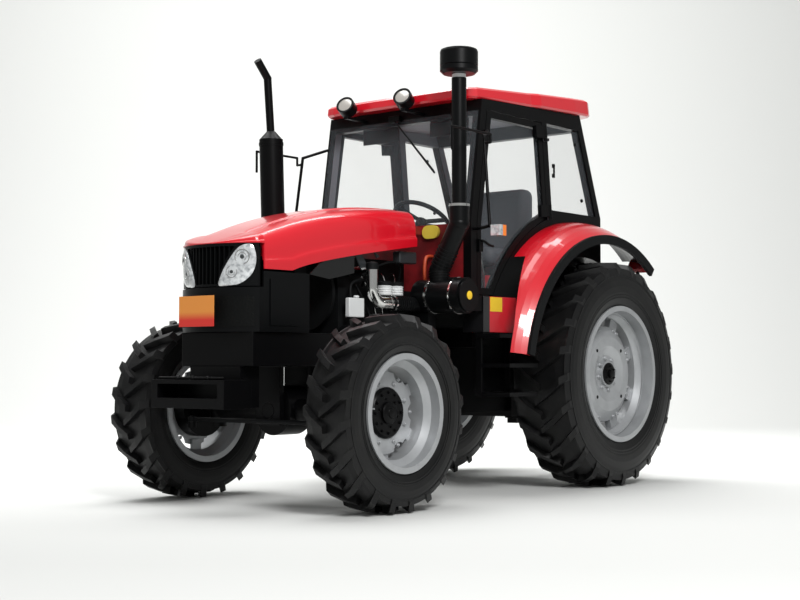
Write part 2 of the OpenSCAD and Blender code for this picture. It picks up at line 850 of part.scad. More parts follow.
module number_plate() {
  z = frame_top + plate_low;
  x = nose_tip + plate_out;
  color("#e8502a") {
    wide_box(x, x + plate_t, plate_w / 2, z, z + plate_h);
    wide_box(nose_tip + fit, x + lap, plate_arm, z + plate_h / 2, z + plate_h / 2 + plate_arm);
  }
}

module bonnet() {
  half = len(hood_section) - 1;
  n = 2 * half;
  near_edge = brow_lap - 2;
  xs = concat([for (i = [0 : 14]) lerp(bonnet_x0, nose_edge - near_edge - bead_step, i / 14)],
    [nose_edge - near_edge, nose_edge],
    [for (i = [1 : 5]) nose_edge + nose_bow * (1 - pow(1 - i / 5.3, 2))]);
  function ring(x, t) = let (w = bonnet_half(x) - t, z0 = bonnet_low(x), h = max(lap, bonnet_z(x) - t - z0))
    [for (j = [0 : n]) let (s = hood_section[half - abs(half - j)])
      [x, w * s[0] * (j < half ? 1 : -1), z0 + h * s[1]]];
  m = len(xs);
  pts = concat([for (x = xs) each ring(x, 0)], [for (x = xs) each ring(x, bonnet_t)]);
  function o(i, j) = i * (n + 1) + j;
  function p(i, j) = (m + i) * (n + 1) + j;
  function quad(a, b, c, d) = [[a, b, c], [a, c, d]];
  faces = concat(
    [for (i = [0 : m - 2]) for (j = [0 : n - 1])
      each quad(o(i, j), o(i + 1, j), o(i + 1, j + 1), o(i, j + 1))],
    [for (i = [0 : m - 2]) for (j = [0 : n - 1])
      each quad(p(i, j), p(i, j + 1), p(i + 1, j + 1), p(i + 1, j))],
    [for (j = [0 : n - 1]) each quad(o(0, j), o(0, j + 1), p(0, j + 1), p(0, j))],
    [for (j = [0 : n - 1]) each quad(o(m - 1, j), p(m - 1, j), p(m - 1, j + 1), o(m - 1, j + 1))],
    [for (i = [0 : m - 2]) each quad(o(i, 0), p(i, 0), p(i + 1, 0), o(i + 1, 0))],
    [for (i = [0 : m - 2]) each quad(o(i, n), o(i + 1, n), p(i + 1, n), p(i, n))]);
  color(red) polyhedron(pts, faces);
}

// column along X over an outline given in shares of the nose
module nose_column(shape, k) {
  function at(s) = let (q = lamp_mid + k * (s - lamp_mid))
    [q.x * nose_w / 2, lerp(grille_low, brow_low, q.y)];
  translate([nose_edge - nose_bow, 0, 0]) rotate([90, 0, 90]) linear_extrude(3 * nose_bow)
    polygon([for (s = shape) at(s)]);
}

module grille() {
  top = brow_low - fit;
  color(black) {
    nose_ring(nose_r - mesh_in, nose_r - mesh_in + mask_t, nose_a, grille_low, top);
    difference() {
      nose_ring(nose_r - mask_in - mask_t, nose_r - mask_in, nose_a - 1, grille_low, top);
      both_sides() nose_column(lamp_shape, lamp_rim);
      nose_column(mesh_shape, 1);
    }
    // ribs, and webs that carry the mask
    difference() {
      union() {
        for (a = [-20 : rib_step : 20]) translate([nose_cx, 0, 0]) rotate([0, 0, a])
          box([nose_r - mesh_in + lap, -rib_t / 2, grille_low], [nose_r - rib_out, rib_t / 2, top]);
        both_sides() translate([nose_cx, 0, 0]) rotate([0, 0, nose_a - 2])
          box([nose_r - mesh_in + lap, -rib_t, grille_low], [nose_r - mask_in - lap, rib_t, top]);
      }
      both_sides() nose_column(lamp_shape, lamp_rim);
    }
    // carriers of the bonnet hinge
    both_sides() difference() {
      box([hinge_x - hinge_in, hinge_y - hinge_t, hinge_z - hinge_in],
        [hinge_x + hinge_arm, hinge_y, bonnet_under(hinge_x + hinge_arm, hinge_y) - hinge_gap]);
      bar_y(hinge_x, hinge_z, hinge_pin_r + fit, hinge_y - hinge_t - lap, hinge_y + lap);
    }
  }
}

module headlamps() {
  r0 = nose_r - mesh_in + mask_t + fit;
  color("white") both_sides() intersection() {
    nose_ring(r0, r0 + lamp_depth, nose_a - 1, grille_low, brow_low);
    nose_column(lamp_shape, 1);
  }
}

exhaust_back = 375;
exhaust_y = 450;
exhaust_r = 30;
muffler_low = rear_z + 724;
muffler_l = 760;
muffler_r = 75;
muffler_lean = 30;
cone_l = 50;
tail_r = 25;
tail_l = 335;
tail_fwd = 30;
tip_fwd = 90;
tip_up = 100;

module exhaust() {
  x = front_x - exhaust_back;
  y = -exhaust_y;
  z = manifold_low + manifold_h / 2;
  top = [x + muffler_lean, y, muffler_low + muffler_l];
  neck = [top.x + bead_step, y, top.z + cone_l];
  bend = neck + [tail_fwd, 0, tail_l];
  color(black) {
    bent_bar([[x, -engine_w / 2 - manifold_t - fit, z], [x, y, z], [x, y, muffler_low + cone_l]], exhaust_r);
    bar([x, y, muffler_low], top, muffler_r);
    translate(top - [0, 0, lap])
      cylinder(h = cone_l + lap, r1 = muffler_r - lap, r2 = tail_r + bead_step, $fn = fine);
    bent_bar([neck - [0, 0, lap], bend, bend + [tip_fwd, 0, tip_up]], tail_r);
  }
}

stack_gap = 115;
stack_x = cab_x1 + stack_gap;
stack_y = cab_y - 5;
stack_r = 46;
hose_r = 62;
hose_y = 475;
hose_low = rear_z + 644;
hose_high = rear_z + 924;
stack_low = rear_z + 1034;
stack_l = 790;
bowl_r = 118;
bowl_h = 155;
bowl_gap = 25;
bowl_neck_r = 40;
bowl_edge = 18;
canister_z = rear_z + 484;
canister_r = 105;
canister_y0 = 330;
canister_y1 = 610;
canister_end = 690;
canister_lid = 705;
foot_w = 80;
foot_h = 110;
foot_y0 = 300;
foot_y1 = 420;
shelf_t = 42;
pipe_back = 395;
pipe_y = 345;
pipe_r = 36;
pipe_z = rear_z + 434;
pipe_bend = 90;
pipe_top = rear_z + 664;
pipe_l = 90;
stub_r = 30;
inlet_r = 44;

module air_cleaner() {
  foot_low = canister_z - canister_r - foot_h;
  x0 = stack_x - foot_w / 2;
  hose_end = front_x - pipe_back - pipe_bend - pipe_l - fit;
  color(black) {
    bar_y(stack_x, canister_z, canister_r, canister_y0, canister_y1 + lap);
    bar_y(stack_x, canister_z, canister_r + panel_t, canister_y1, canister_end);
    bar_y(stack_x, canister_z, canister_r - panel_t, canister_end - lap, canister_lid);
    box([x0, foot_y0, foot_low], [x0 + foot_w, foot_y1, canister_z - canister_r / 2]);
    box([x0, engine_w / 2 + fit, foot_low - shelf_t], [x0 + foot_w, foot_y1, foot_low + lap]);
    // inlet hose towards the engine
    bar([stack_x + canister_r / 2, pipe_y, pipe_z], [hose_end, pipe_y, pipe_z], inlet_r);
  }
}

module intake_stack() {
  bowl_low = stack_low + stack_l + bowl_gap;
  top = bowl_low + bowl_h;
  r = bowl_r;
  e = bowl_edge;
  color(black) {
    difference() {
      bent_bar([[stack_x, hose_y, canister_z], [stack_x, hose_y, hose_low], [stack_x, stack_y, hose_high],
        [stack_x, stack_y, stack_low + bead_h]], hose_r);
      bar_y(stack_x, canister_z, canister_r + fit, foot_y0, canister_lid);
    }
    bar_z(stack_x, stack_y, stack_r, stack_low, bowl_low - bowl_gap);
    bar_z(stack_x, stack_y, bowl_neck_r, bowl_low - bowl_gap - lap, bowl_low + lap);
    translate([stack_x, stack_y, 0]) rotate_extrude($fn = fine)
      polygon([[0, bowl_low], [r - e, bowl_low], [r, bowl_low + e], [r, bowl_low + 2.5 * e],
        [r - bead_step, bowl_low + 2.7 * e], [r, bowl_low + 2.9 * e], [r, top - e],
        [r - 0.3 * e, top - 0.3 * e], [r - e, top], [0, top]]);
  }
}

module charge_pipe() {
  x = front_x - pipe_back;
  xb = x - pipe_bend;
  zb = pipe_z + pipe_bend;
  color(silver) {
    bar_z(x, pipe_y, pipe_r, zb, pipe_top);
    bar_y(x, pipe_top - pipe_r - bead_step, stub_r, cover_w / 2 + fit, pipe_y);
    translate([xb, pipe_y, zb]) rotate([90, 0, 0]) rotate([0, 0, -90])
      rotate_extrude(angle = 90, $fn = fine) translate([pipe_bend, 0]) circle(r = pipe_r, $fn = fine);
    bar([xb, pipe_y, pipe_z], [xb - pipe_l, pipe_y, pipe_z], pipe_r);
  }
}

// outlines of the door opening and of the quarter window, m inside the frame
function door_outline(m) = concat(
  [[screen_x(sill_top) - pillar_w - m, sill_top + m], [screen_x(screen_low) - pillar_w - m, screen_low],
   [screen_x(door_top) - pillar_w - m, door_top - m], [post_front(door_top) + m, door_top - m]],
  let (r = arch_r + m, a1 = acos((post_x + m - arch_x) / r), a0 = asin((sill_top + m - arch_z) / r))
  [for (i = [0 : 10]) let (a = lerp(a1, a0, i / 10)) [arch_x + r * cos(a), arch_z + r * sin(a)]]);

function quarter_outline(m) = [
  [post_front(quarter_low) - pillar_w - m, quarter_low + m],
  [post_front(door_top) - pillar_w - m, door_top - m],
  [tail_x(door_top) + pillar_w + m, door_top - m], [tail_x(quarter_low) + pillar_w + m, quarter_low + m]];

module side_frame() {
  y = cab_y - side_t;
  difference() {
    plate_y([[cab_x0, floor_low], [cab_x1, floor_low], [cab_x1, screen_low], [screen_top_x, screen_top],
      [tail_top_x, tail_top], [cab_x0, tail_low]], y, side_t);
    plate_y(door_outline(0), y - lap, side_t + 2 * lap);
    plate_y(quarter_outline(0), y - lap, side_t + 2 * lap);
    bar_y(rear_x, rear_z, house_r - house_t, y - lap, cab_y + lap);
  }
}

// drum that shuts off the space of a rear tyre
module wheel_house() {
  x0 = rear_x - house_r - lap;
  difference() {
    bar_y(rear_x, rear_z, house_r, house_y, cab_y);
    bar_y(rear_x, rear_z, house_r - house_t, house_y + house_t, cab_y + lap);
    box([x0, house_y - lap, -house_r], [rear_x + house_r + lap, cab_y + lap, floor_low]);
    box([x0, house_y - lap, 0], [cab_x0, cab_y + lap, rear_z + house_r + lap]);
  }
}

// room taken by the wheel houses
module wheel_room() {
  both_sides() bar_y(rear_x, rear_z, house_r + fit, house_y - fit, cab_y + lap);
}

// pillar half of a door hinge
module hinge_pin(z) {
  translate([post_front(z), door_axis_y, z]) rotate([0, door_tilt, 0]) {
    bar_z(0, 0, door_pin_r, -hinge_half, hinge_half);
    bar_z(0, 0, door_barrel_r, -hinge_half - hinge_foot, -hinge_half);
    box([-strap_foot, -door_axis_out, -hinge_half - hinge_foot], [0, 0, -hinge_half - lap]);
  }
}

// cross rail between the side frames, from z up to the roof
module cross_rail(x0, x1, z) {
  plate_y([[x0, z], [x0 + pillar_w, z], [x1 + pillar_w, roof_z(x1 + pillar_w) - fit], [x1, roof_z(x1) - fit]],
    -inner_y, 2 * inner_y);
}

module cab_side() {
  side_frame();
  wheel_house();
  for (z = hinge_heights) hinge_pin(z);
}

module cab_frame() {
  header_low = roof_low - header_h;
  color(black) {
    cross_rail(screen_x(header_low) - pillar_w, screen_top_x - pillar_w, header_low);
    cross_rail(tail_x(door_top), tail_top_x, door_top);
    difference() {
      wide_box(cab_x0, cab_x0 + back_wall_t, inner_y, floor_top, floor_top + back_wall_h);
      wheel_room();
    }
  }
}

column_l = 120;
column_w = 120;
beam_in = 10;

module cab_floor() {
  x = cab_x1 - mount_back;
  color(grey) difference() {
    union() {
      wide_box(cab_x0, cab_x1, inner_y, floor_low, floor_top);
      wide_box(x + beam_in, x + mount_l - beam_in, mount_half - beam_in, gearbox_top + fit, floor_low + lap);
      both_sides() box([rear_x - column_l / 2, house_y - column_w + pane_in, rear_z],
        [rear_x + column_l / 2, house_y + pane_in, floor_low + lap]);
    }
    bar_y(rear_x, rear_z, trumpet_r + fit, -trumpet_y, trumpet_y);
    difference() {
      wheel_room();
      wide_box(rear_x - house_r - lap, rear_x + house_r + lap, cab_y + lap, -house_r, floor_low - column_w);
    }
  }
}

wall_t = 30;
hinge_tab = 25;
tab_h = 50;
tab_over = 2;
tab_low = 60;

module firewall() {
  y0 = hinge_y + hinge_gap;
  z0 = screen_low - tab_low;
  color(red) {
    wide_box(cab_x1 - wall_t, cab_x1, inner_y, floor_top, screen_low);
    both_sides() {
      box([cab_x1 - lap, y0, z0], [hinge_x + hinge_tab, y0 + hinge_t, z0 + tab_h]);
      box([hinge_x - hinge_tab, y0, z0],
        [hinge_x + hinge_tab, y0 + hinge_t, hinge_z + hinge_pin_r + tab_over]);
      bar_y(hinge_x, hinge_z, hinge_pin_r, hinge_y - hinge_t, y0 + lap);
    }
  }
}

roof_nose = 40;
roof_tail = 40;
roof_over = 33;
roof_edge = 14;
roof_dome = 18;
// half plan of the roof: share of the length, share of the half width
roof_plan = [[1, 0], [0.997, 0.5], [0.99, 0.78], [0.975, 0.885], [0.94, 0.935], [0.7, 0.958], [0.55, 0.968],
  [0.49, 1], [0.44, 1], [0.2, 1], [0.08, 0.985], [0.03, 0.93], [0.006, 0.8], [0, 0.5], [0, 0]];

module cab_roof() {
  half = len(roof_plan) - 1;
  n = 2 * half;
  x0 = roof_x0 - roof_tail;
  x1 = roof_x1 + roof_nose;
  mid = (x0 + x1) / 2;
  function side_h(x) = roof_band + roof_wedge * (x1 - x) / (x1 - x0);
  // height above the underside: fixed part, share of the side height; share of the plan, shift
  levels = [[0, 0, 0.985, 0], [roof_edge, 0, 1, 0], [-roof_edge, 1, 0.992, bead_step], [0, 1, 0.962, bead_h],
    [roof_dome, 1, 0.7, bead_h]];
  function plan(j) = let (s = roof_plan[half - abs(half - j)])
    [lerp(x0, x1, s.x), (cab_y + roof_over) * s.y * (j < half ? 1 : -1)];
  m = len(levels);
  pts = [for (l = levels) for (j = [0 : n - 1]) let (q = plan(j), x = mid + l[2] * (q.x - mid) + l[3])
    [x, l[2] * q.y, roof_z(x) + l[0] + l[1] * side_h(x)]];
  faces = concat([[for (j = [0 : n - 1]) j]], [[for (j = [0 : n - 1]) m * n - 1 - j]],
    [for (i = [0 : m - 2]) for (j = [0 : n - 1]) let (k = (j + 1) % n) each
      [[i * n + j, (i + 1) * n + k, i * n + k], [i * n + j, (i + 1) * n + j, (i + 1) * n + k]]]);
  color(red) polyhedron(pts, faces);
}

pane_lap = 30;

// pane on sloping posts: outline of its inner edge from the bottom up, thickness away from the cab
module cross_pane(pts, t) {
  n = len(pts) - 1;
  plate_y(concat(pts, [for (i = [n : -1 : 0]) pts[i] + [t, 0]]), pane_in - cab_y, 2 * (cab_y - pane_in));
}

module cab_glass() {
  front_top = roof_low - header_h + pane_lap;
  rear_top = door_top + pane_lap;
  color(glass, 0.35) {
    cross_pane([[screen_x(screen_low) + fit, screen_low], [screen_x(front_top) + fit, front_top]], glass_t);
    cross_pane([[cab_x0 - fit, floor_top + back_wall_h - pane_in], [cab_x0 - fit, tail_low],
      [tail_x(rear_top) - fit, rear_top]], -glass_t);
    both_sides() plate_y(quarter_outline(fit), cab_y - pane_in, glass_t);
  }
}

module door_leaf() {
  y = cab_y - door_t;
  difference() {
    plate_y(door_outline(door_gap), y, door_t);
    plate_y(door_outline(door_gap + door_frame_w), y - lap, door_t + 2 * lap);
  }
  for (z = hinge_heights) translate([post_front(z), door_axis_y, z]) rotate([0, door_tilt, 0]) difference() {
    union() {
      bar_z(0, 0, door_barrel_r, lap - hinge_half, hinge_half);
      box([0, -door_axis_out, lap - hinge_half], [hinge_strap, strap_t, hinge_half]);
    }
    bar_z(0, 0, door_pin_r + fit, -hinge_half, hinge_half + lap);
  }
}

module door_pane() {
  plate_y(door_outline(door_gap + door_frame_w + fit), cab_y - door_t / 2, glass_t);
}

// piece turned about the fender axis, profile in (radius, -y)
module fender_arc(profile) {
  translate([fender_x, 0, fender_z]) rotate([90, 0, 0]) rotate([0, 0, fender_a0])
    rotate_extrude(angle = fender_a1 - fender_a0, $fn = 96) polygon(profile);
}

module fenders() {
  function top(u) = fender_r + fender_rise * (1 - pow(u, 2.4));
  low = fender_r - lip_h;
  prof = concat([for (i = [0 : 8]) [top(i / 8), -lerp(cab_y + fit, fender_y, i / 8)]],
    [[low, -fender_y], [low, -fender_y + fender_t]],
    [for (i = [7 : -1 : 0]) [top(i / 8) - fender_t, -lerp(cab_y + fit, fender_y, i / 8)]]);
  blade_in = fender_y - blade_w;
  color(red) both_sides() difference() {
    fender_arc(prof);
    // the front ends run out to narrow blades
    translate([fender_x + fender_r / 2, 0, rear_z - fender_gap]) linear_extrude(fender_r)
      polygon([[0, cab_y - lap], [0, cab_y], [fender_r / 2, blade_in], [fender_r, blade_in],
        [fender_r, cab_y - lap]]);
  }
}

module fender_lips() {
  r0 = fender_r - lip_h - lip_over;
  r1 = fender_r + panel_t;
  y = -fender_y - fit;
  color(rubber) both_sides() fender_arc([[r0, y], [r1, y], [r1, y - lip_t], [r0, y - lip_t]]);
}

step_gap = 94;
step_x = rear_x + rear_r + step_gap;
step_l = 310;
step_t = 25;
step_out = 190;
step_heights = [580, 400];
rail_t = 20;
ledge_drop = 215;
ledge_out = 130;
box_gap = 35;
box_in = 30;
box_x0 = step_x - box_in;
box_x1 = step_x + step_l + pane_in;
skin_t = 8;

module side_boxes() {
  low = floor_top - ledge_drop + box_gap;
  y1 = cab_y + skin_t;
  color(red) both_sides() {
    box([box_x0, mount_half + fit, low + fit], [box_x1, y1, floor_low - fit]);
    box([box_x0, cab_y + fit, floor_low - lap], [box_x1, y1, sill_top - bead_step]);
  }
}

module steps() {
  y0 = cab_y - side_t;
  low = floor_top - step_heights[0];
  ledge = floor_top - ledge_drop;
  color(black) both_sides() {
    for (h = step_heights)
      box([step_x, y0, floor_top - h], [step_x + step_l, cab_y + step_out, floor_top - h + step_t]);
    for (x = [step_x - beam_in, step_x + step_l - beam_in])
      box([x, y0, low], [x + rail_t, cab_y - rail_t, ledge + lap]);
    box([box_x0, y0, ledge], [box_x1, cab_y + ledge_out, ledge + step_t]);
    box([box_x0, y0, ledge + step_t - lap], [box_x1, cab_y + lap, ledge + box_gap]);
  }
}

seat_x = rear_x + 60;
seat_l = 460;
seat_w = 460;
seat_rise = 300;
seat_t = 120;
pedestal_in = 90;
pedestal_w = 300;
back_t = 140;
back_lap = 40;
back_h = 440;

module seat() {
  z = floor_top + seat_rise;
  color(black) {
    wide_box(seat_x + pedestal_in, seat_x + seat_l - seat_t, pedestal_w / 2, floor_top, z);
    wide_box(seat_x, seat_x + seat_l, seat_w / 2, z - lap, z + seat_t);
    wide_box(seat_x + back_lap - back_t, seat_x + back_lap, seat_w / 2 - beam_in, z + seat_t - pane_in,
      z + seat_t + back_h);
  }
}

wheel_back = 320;
wheel_rise = 570;
wheel_tilt = -35;
wheel_c = [cab_x1 - wheel_back, 0, floor_top + wheel_rise];
wheel_r = 195;
wheel_grip = 15;
spoke_w = 28;
spoke_t = 14;
boss_l = 55;
wheel_boss_r = 38;
column_r = 35;
column_in = 240;
dash_l = 230;
dash_w = 460;
dash_h = 400;

module dashboard() {
  axis = [sin(wheel_tilt), 0, cos(wheel_tilt)];
  x1 = cab_x1 - wall_t;
  color(black) {
    wide_box(x1 - dash_l, x1 - fit, dash_w / 2, floor_top, floor_top + dash_h);
    bar(wheel_c - column_in * axis, wheel_c - (boss_l + fit) * axis, column_r);
  }
}

module steering_wheel() {
  color(black) translate(wheel_c) rotate([0, wheel_tilt, 0]) {
    rotate_extrude($fn = fine) translate([wheel_r, 0]) circle(r = wheel_grip, $fn = 24);
    for (a = [90, 210, 330]) rotate([0, 0, a])
      box([pane_in, -spoke_w / 2, -spoke_t + lap], [wheel_r, spoke_w / 2, lap]);
    bar_z(0, 0, wheel_boss_r, -boss_l, bead_step);
  }
}

mirror_r = 10;
arm_r = 8;
mirror_x = cab_x1 + 30;
mirror_y = cab_y + 122;
mirror_out = 63;
mirror_top = roof_low - 205;
mirror_low = screen_low - 40;
foot_back = 118;
foot_out = 40;
knee_drop = 60;
arm_rise = 50;
arm_fwd = 390;
arm_out = 45;
hook_l = 140;
stay_back = 30;

module mirrors() {
  knee = [mirror_x, mirror_y, mirror_top - knee_drop];
  foot = [mirror_x + box_in, mirror_y + mirror_out, mirror_low];
  joint = lerp(knee, foot, 0.08);
  elbow = joint + [0, arm_out, 0];
  post = [cab_x1 - foot_back, cab_y + fit, mirror_top];
  stay = [cab_x1 - stay_back, cab_y + fit, mirror_low];
  color(black) both_sides() {
    bent_bar([post, post + [0, foot_out, 0], knee, foot, stay + [0, foot_out, 0], stay], mirror_r);
    bent_bar([joint, elbow, elbow + [0, 0, arm_rise], elbow + [arm_fwd, 0, arm_rise],
      elbow + [arm_fwd, 0, arm_rise - hook_l]], arm_r);
  }
}

turn_l = 36;
turn_w = 66;
turn_h = 66;
turn_z = mirror_low - 60;
turn_y = mirror_y + mirror_out + 1.03 * mirror_r + fit;
work_lamps = [-320, 163];
work_r = 56;
work_t = 14;
work_bowl = 52;
work_x = cab_x1 + 85;
work_z = roof_low + 33;
work_yaw = 15;
work_pitch = 65;
lug_bar_w = 36;
lug_bar_t = 14;
lug_bar_low = 52;
marker_r = 42;
marker_y = 308;
marker_span = 44;
marker_t = 22;
marker_drop = 46;
tail_lamp_out = 20;
tail_lamp_h = 70;
tail_lamp_in = 60;
tail_lamp_w = 140;
tail_lamp_t = 45;

module at_work_lamp(y) {
  translate([work_x, y, work_z]) rotate([0, 0, work_yaw]) rotate([0, work_pitch, 0]) children();
}

module lamp_housings() {
  z = roof_low - lug_bar_low;
  color(black) for (y = work_lamps) {
    at_work_lamp(y) bar_z(0, 0, work_r + bead_step, -work_bowl, -fit);
    box([screen_x(z) + fit, y - lug_bar_w / 2, z], [work_x, y + lug_bar_w / 2, z + lug_bar_t]);
    box([work_x - lug_bar_w, y - lug_bar_w / 2, z], [work_x, y + lug_bar_w / 2, work_z - lug_bar_t]);
  }
}

module lamps() {
  color("white") {
    for (y = work_lamps) at_work_lamp(y) bar_z(0, 0, work_r, 0, work_t);
    both_sides() box([mirror_x + fit, turn_y, turn_z], [mirror_x + turn_l, turn_y + turn_w, turn_z + turn_h]);
  }
}

module amber_lamps() {
  z = screen_low - marker_drop;
  x = cab_x1 + fit;
  color("orange") both_sides() {
    box([mirror_x - turn_l, turn_y, turn_z], [mirror_x, turn_y + turn_w, turn_z + turn_h]);
    for (y = [marker_y, marker_y + marker_span]) bar([x, y, z], [x + marker_t, y, z], marker_r);
    box([x, marker_y, z - marker_r], [x + marker_t, marker_y + marker_span, z + marker_r]);
  }
}

module rear_lamps() {
  y = cab_y + tail_lamp_in;
  r = fender_r + tail_lamp_out;
  color("red") both_sides() translate([fender_x, 0, fender_z]) rotate([0, -fender_a1, 0])
    box([r, y, fit], [r + tail_lamp_h, y + tail_lamp_w, tail_lamp_t]);
}

module lift_arms() {
  end = [rock_pivot.x - lift_arm_l, rock_pivot.y];
  y0 = arm_y - arm_plate_t;
  color(black) {
    bar_y(rock_pivot.x, rock_pivot.y, rock_r, -arm_y, arm_y);
    both_sides() {
      bar_y(rock_pivot.x, rock_pivot.y, rock_boss_r, y0, arm_y);
      box([end.x, y0, end.y - arm_plate_h / 2], [rock_pivot.x, arm_y, end.y + arm_plate_h / 2]);
      bar_y(end.x, end.y, arm_eye_r, y0, arm_y);
      bar_y(end.x, end.y, rod_pin_r, arm_y - lap, rod_y + lap);
    }
  }
}

module lift_rods() {
  top = [rock_pivot.x - lift_arm_l, 0, rock_pivot.y];
  low = [link_pivot.x - lift_arm_l, 0, link_pivot.y];
  mid = [0, rod_y - rod_t / 2, 0];
  color(grey) both_sides() difference() {
    union() {
      for (p = [top, low]) bar_y(p.x, p.z, rod_eye_r, rod_y - rod_t, rod_y);
      bar(top + mid, low + mid, rod_t / 2 - lap);
    }
    for (p = [top, low]) bar_y(p.x, p.z, rod_pin_r + fit, rod_y - rod_t - lap, rod_y + lap);
  }
}

module lower_links() {
  y0 = link_y - link_t / 2;
  y1 = link_y + link_t / 2;
  z = link_pivot.y;
  color(black) both_sides() difference() {
    union() {
      box([link_end_x, y0, z - link_h / 2], [link_pivot.x, y1, z + link_h / 2]);
      bar_y(link_pivot.x, z, link_pivot_r, y0, y1);
      bar_y(link_end_x, z, link_eye_r, link_y - link_eye_w / 2, link_y + link_eye_w / 2);
      bar_y(link_pivot.x - lift_arm_l, z, rod_pin_r, rod_y - rod_t, y0 + lap);
    }
    bar_y(link_pivot.x, z, link_pin_r + fit, y0 - lap, y1 + lap);
    bar_y(link_end_x, z, link_eye_d / 2, y0 - link_eye_w, y1 + link_eye_w);
  }
}

module left_cab_side() { color(black) cab_side(); }
module right_cab_side() { color(black) mirror([0, 1, 0]) cab_side(); }
module left_door() { color(black) door_leaf(); }
module left_door_glass() { color(glass, 0.35) door_pane(); }
module right_door() { color(black) mirror([0, 1, 0]) door_leaf(); }
module right_door_glass() { color(glass, 0.35) mirror([0, 1, 0]) door_pane(); }
module left_knuckle() { color(black) knuckle(); }
module right_knuckle() { color(black) mirror([0, 1, 0]) knuckle(); }
module front_left_tyre() { color(rubber) front_tyre(); }
module front_left_rim() { color(silver) front_rim(); }
module front_left_hub() { color(black) front_hub(); }
module front_right_tyre() { color(rubber) mirror([0, 1, 0]) front_tyre(); }
module front_right_rim() { color(silver) mirror([0, 1, 0]) front_rim(); }
module front_right_hub() { color(black) mirror([0, 1, 0]) front_hub(); }
module rear_left_tyre() { color(rubber) rear_tyre(); }
module rear_left_rim() { color(silver) rear_rim(); }
module rear_right_tyre() { color(rubber) mirror([0, 1, 0]) rear_tyre(); }
module rear_right_rim() { color(silver) mirror([0, 1, 0]) rear_rim(); }

front_frame();
tow_bracket();
radiator();
engine();
transmission();
rear_axle();
front_axle();
nose_cowl();
number_plate();
exhaust();
air_cleaner();
intake_stack();
charge_pipe();
cab_frame();
left_cab_side();
right_cab_side();
cab_floor();
firewall();
cab_roof();
cab_glass();
fenders();
fender_lips();
side_boxes();
steps();
seat();
dashboard();
mirrors();
lamp_housings();
lamps();
amber_lamps();
rear_lamps();
drawbar();
bonnet();
grille();
headlamps();
left_door();
left_door_glass();
right_door();
right_door_glass();
steering_wheel();
left_knuckle();
right_knuckle();
tie_rod();
front_left_tyre();
front_left_rim();
front_left_hub();
front_right_tyre();
front_right_rim();
front_right_hub();
rear_left_tyre();
rear_left_rim();
rear_right_tyre();
rear_right_rim();
lift_arms();
lift_rods();
lower_links();
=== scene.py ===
"""Looks of a farm tractor, built round its CAD frame. Metres; +X forward, +Y left, +Z up."""
import bpy
import json
import math
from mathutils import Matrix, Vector


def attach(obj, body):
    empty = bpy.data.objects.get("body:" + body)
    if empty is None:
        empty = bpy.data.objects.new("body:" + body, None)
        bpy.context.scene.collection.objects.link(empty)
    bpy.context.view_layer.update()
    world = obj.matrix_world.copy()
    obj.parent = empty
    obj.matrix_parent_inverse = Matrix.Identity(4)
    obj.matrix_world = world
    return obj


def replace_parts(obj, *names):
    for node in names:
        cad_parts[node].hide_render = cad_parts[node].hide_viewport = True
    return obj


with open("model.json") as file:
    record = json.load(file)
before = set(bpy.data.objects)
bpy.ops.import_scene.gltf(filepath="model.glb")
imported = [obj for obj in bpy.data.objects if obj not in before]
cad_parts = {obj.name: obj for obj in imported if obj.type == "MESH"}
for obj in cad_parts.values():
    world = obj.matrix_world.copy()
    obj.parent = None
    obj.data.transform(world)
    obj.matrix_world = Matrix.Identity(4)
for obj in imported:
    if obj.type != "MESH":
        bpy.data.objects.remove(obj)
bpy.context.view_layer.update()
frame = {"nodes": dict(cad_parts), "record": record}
nodes = frame["nodes"]
scene = bpy.context.scene


# Materials

def rgb(hex_colour, alpha=1.0):
    """sRGB hex to linear RGBA."""
    parts = [int(hex_colour[i:i + 2], 16) / 255 for i in (1, 3, 5)]
    return [c / 12.92 if c <= 0.04045 else ((c + 0.055) / 1.055) ** 2.4 for c in parts] + [alpha]


def add(tree, kind, inputs=None, **settings):
    """Adds a node with its settings; an input is a value or another node's socket."""
    n = tree.nodes.new(kind)
    for key, value in settings.items():
        setattr(n, key, value)
    for key, value in (inputs or {}).items():
        if isinstance(value, bpy.types.NodeSocket):
            tree.links.new(value, n.inputs[key])
        else:
            n.inputs[key].default_value = value
    return n


def material(name, colour, rough=0.5, metal=0.0, **extra):
    m = bpy.data.materials.new(name)
    m.use_nodes = True
    shader = m.node_tree.nodes["Principled BSDF"]
    values = {"Base Color": rgb(colour), "Roughness": rough, "Metallic": metal,
              **{key.replace("_", " "): value for key, value in extra.items()}}
    for key, value in values.items():
        shader.inputs[key].default_value = value
    return m


def grain(m, size_mm, depth_mm, kind="ShaderNodeTexNoise", output=0):
    """Relief with features of size_mm, depth_mm deep, fixed to the piece."""
    tree = m.node_tree
    coords = add(tree, "ShaderNodeTexCoord")
    texture = add(tree, kind, {"Vector": coords.outputs["Object"], "Scale": 1000 / size_mm})
    relief = add(tree, "ShaderNodeBump", {"Height": texture.outputs[output], "Strength": 0.6,
                                          "Distance": depth_mm / 1000})
    tree.links.new(relief.outputs["Normal"], tree.nodes["Principled BSDF"].inputs["Normal"])
    return m


def blend(m, factor, colour):
    """Second colour where factor is 1."""
    tree = m.node_tree
    shader = tree.nodes["Principled BSDF"]
    mix = add(tree, "ShaderNodeMix", {"Factor": factor, 6: shader.inputs["Base Color"].default_value[:],
                                      7: rgb(colour)}, data_type="RGBA")
    tree.links.new(mix.outputs[2], shader.inputs["Base Color"])
    return m


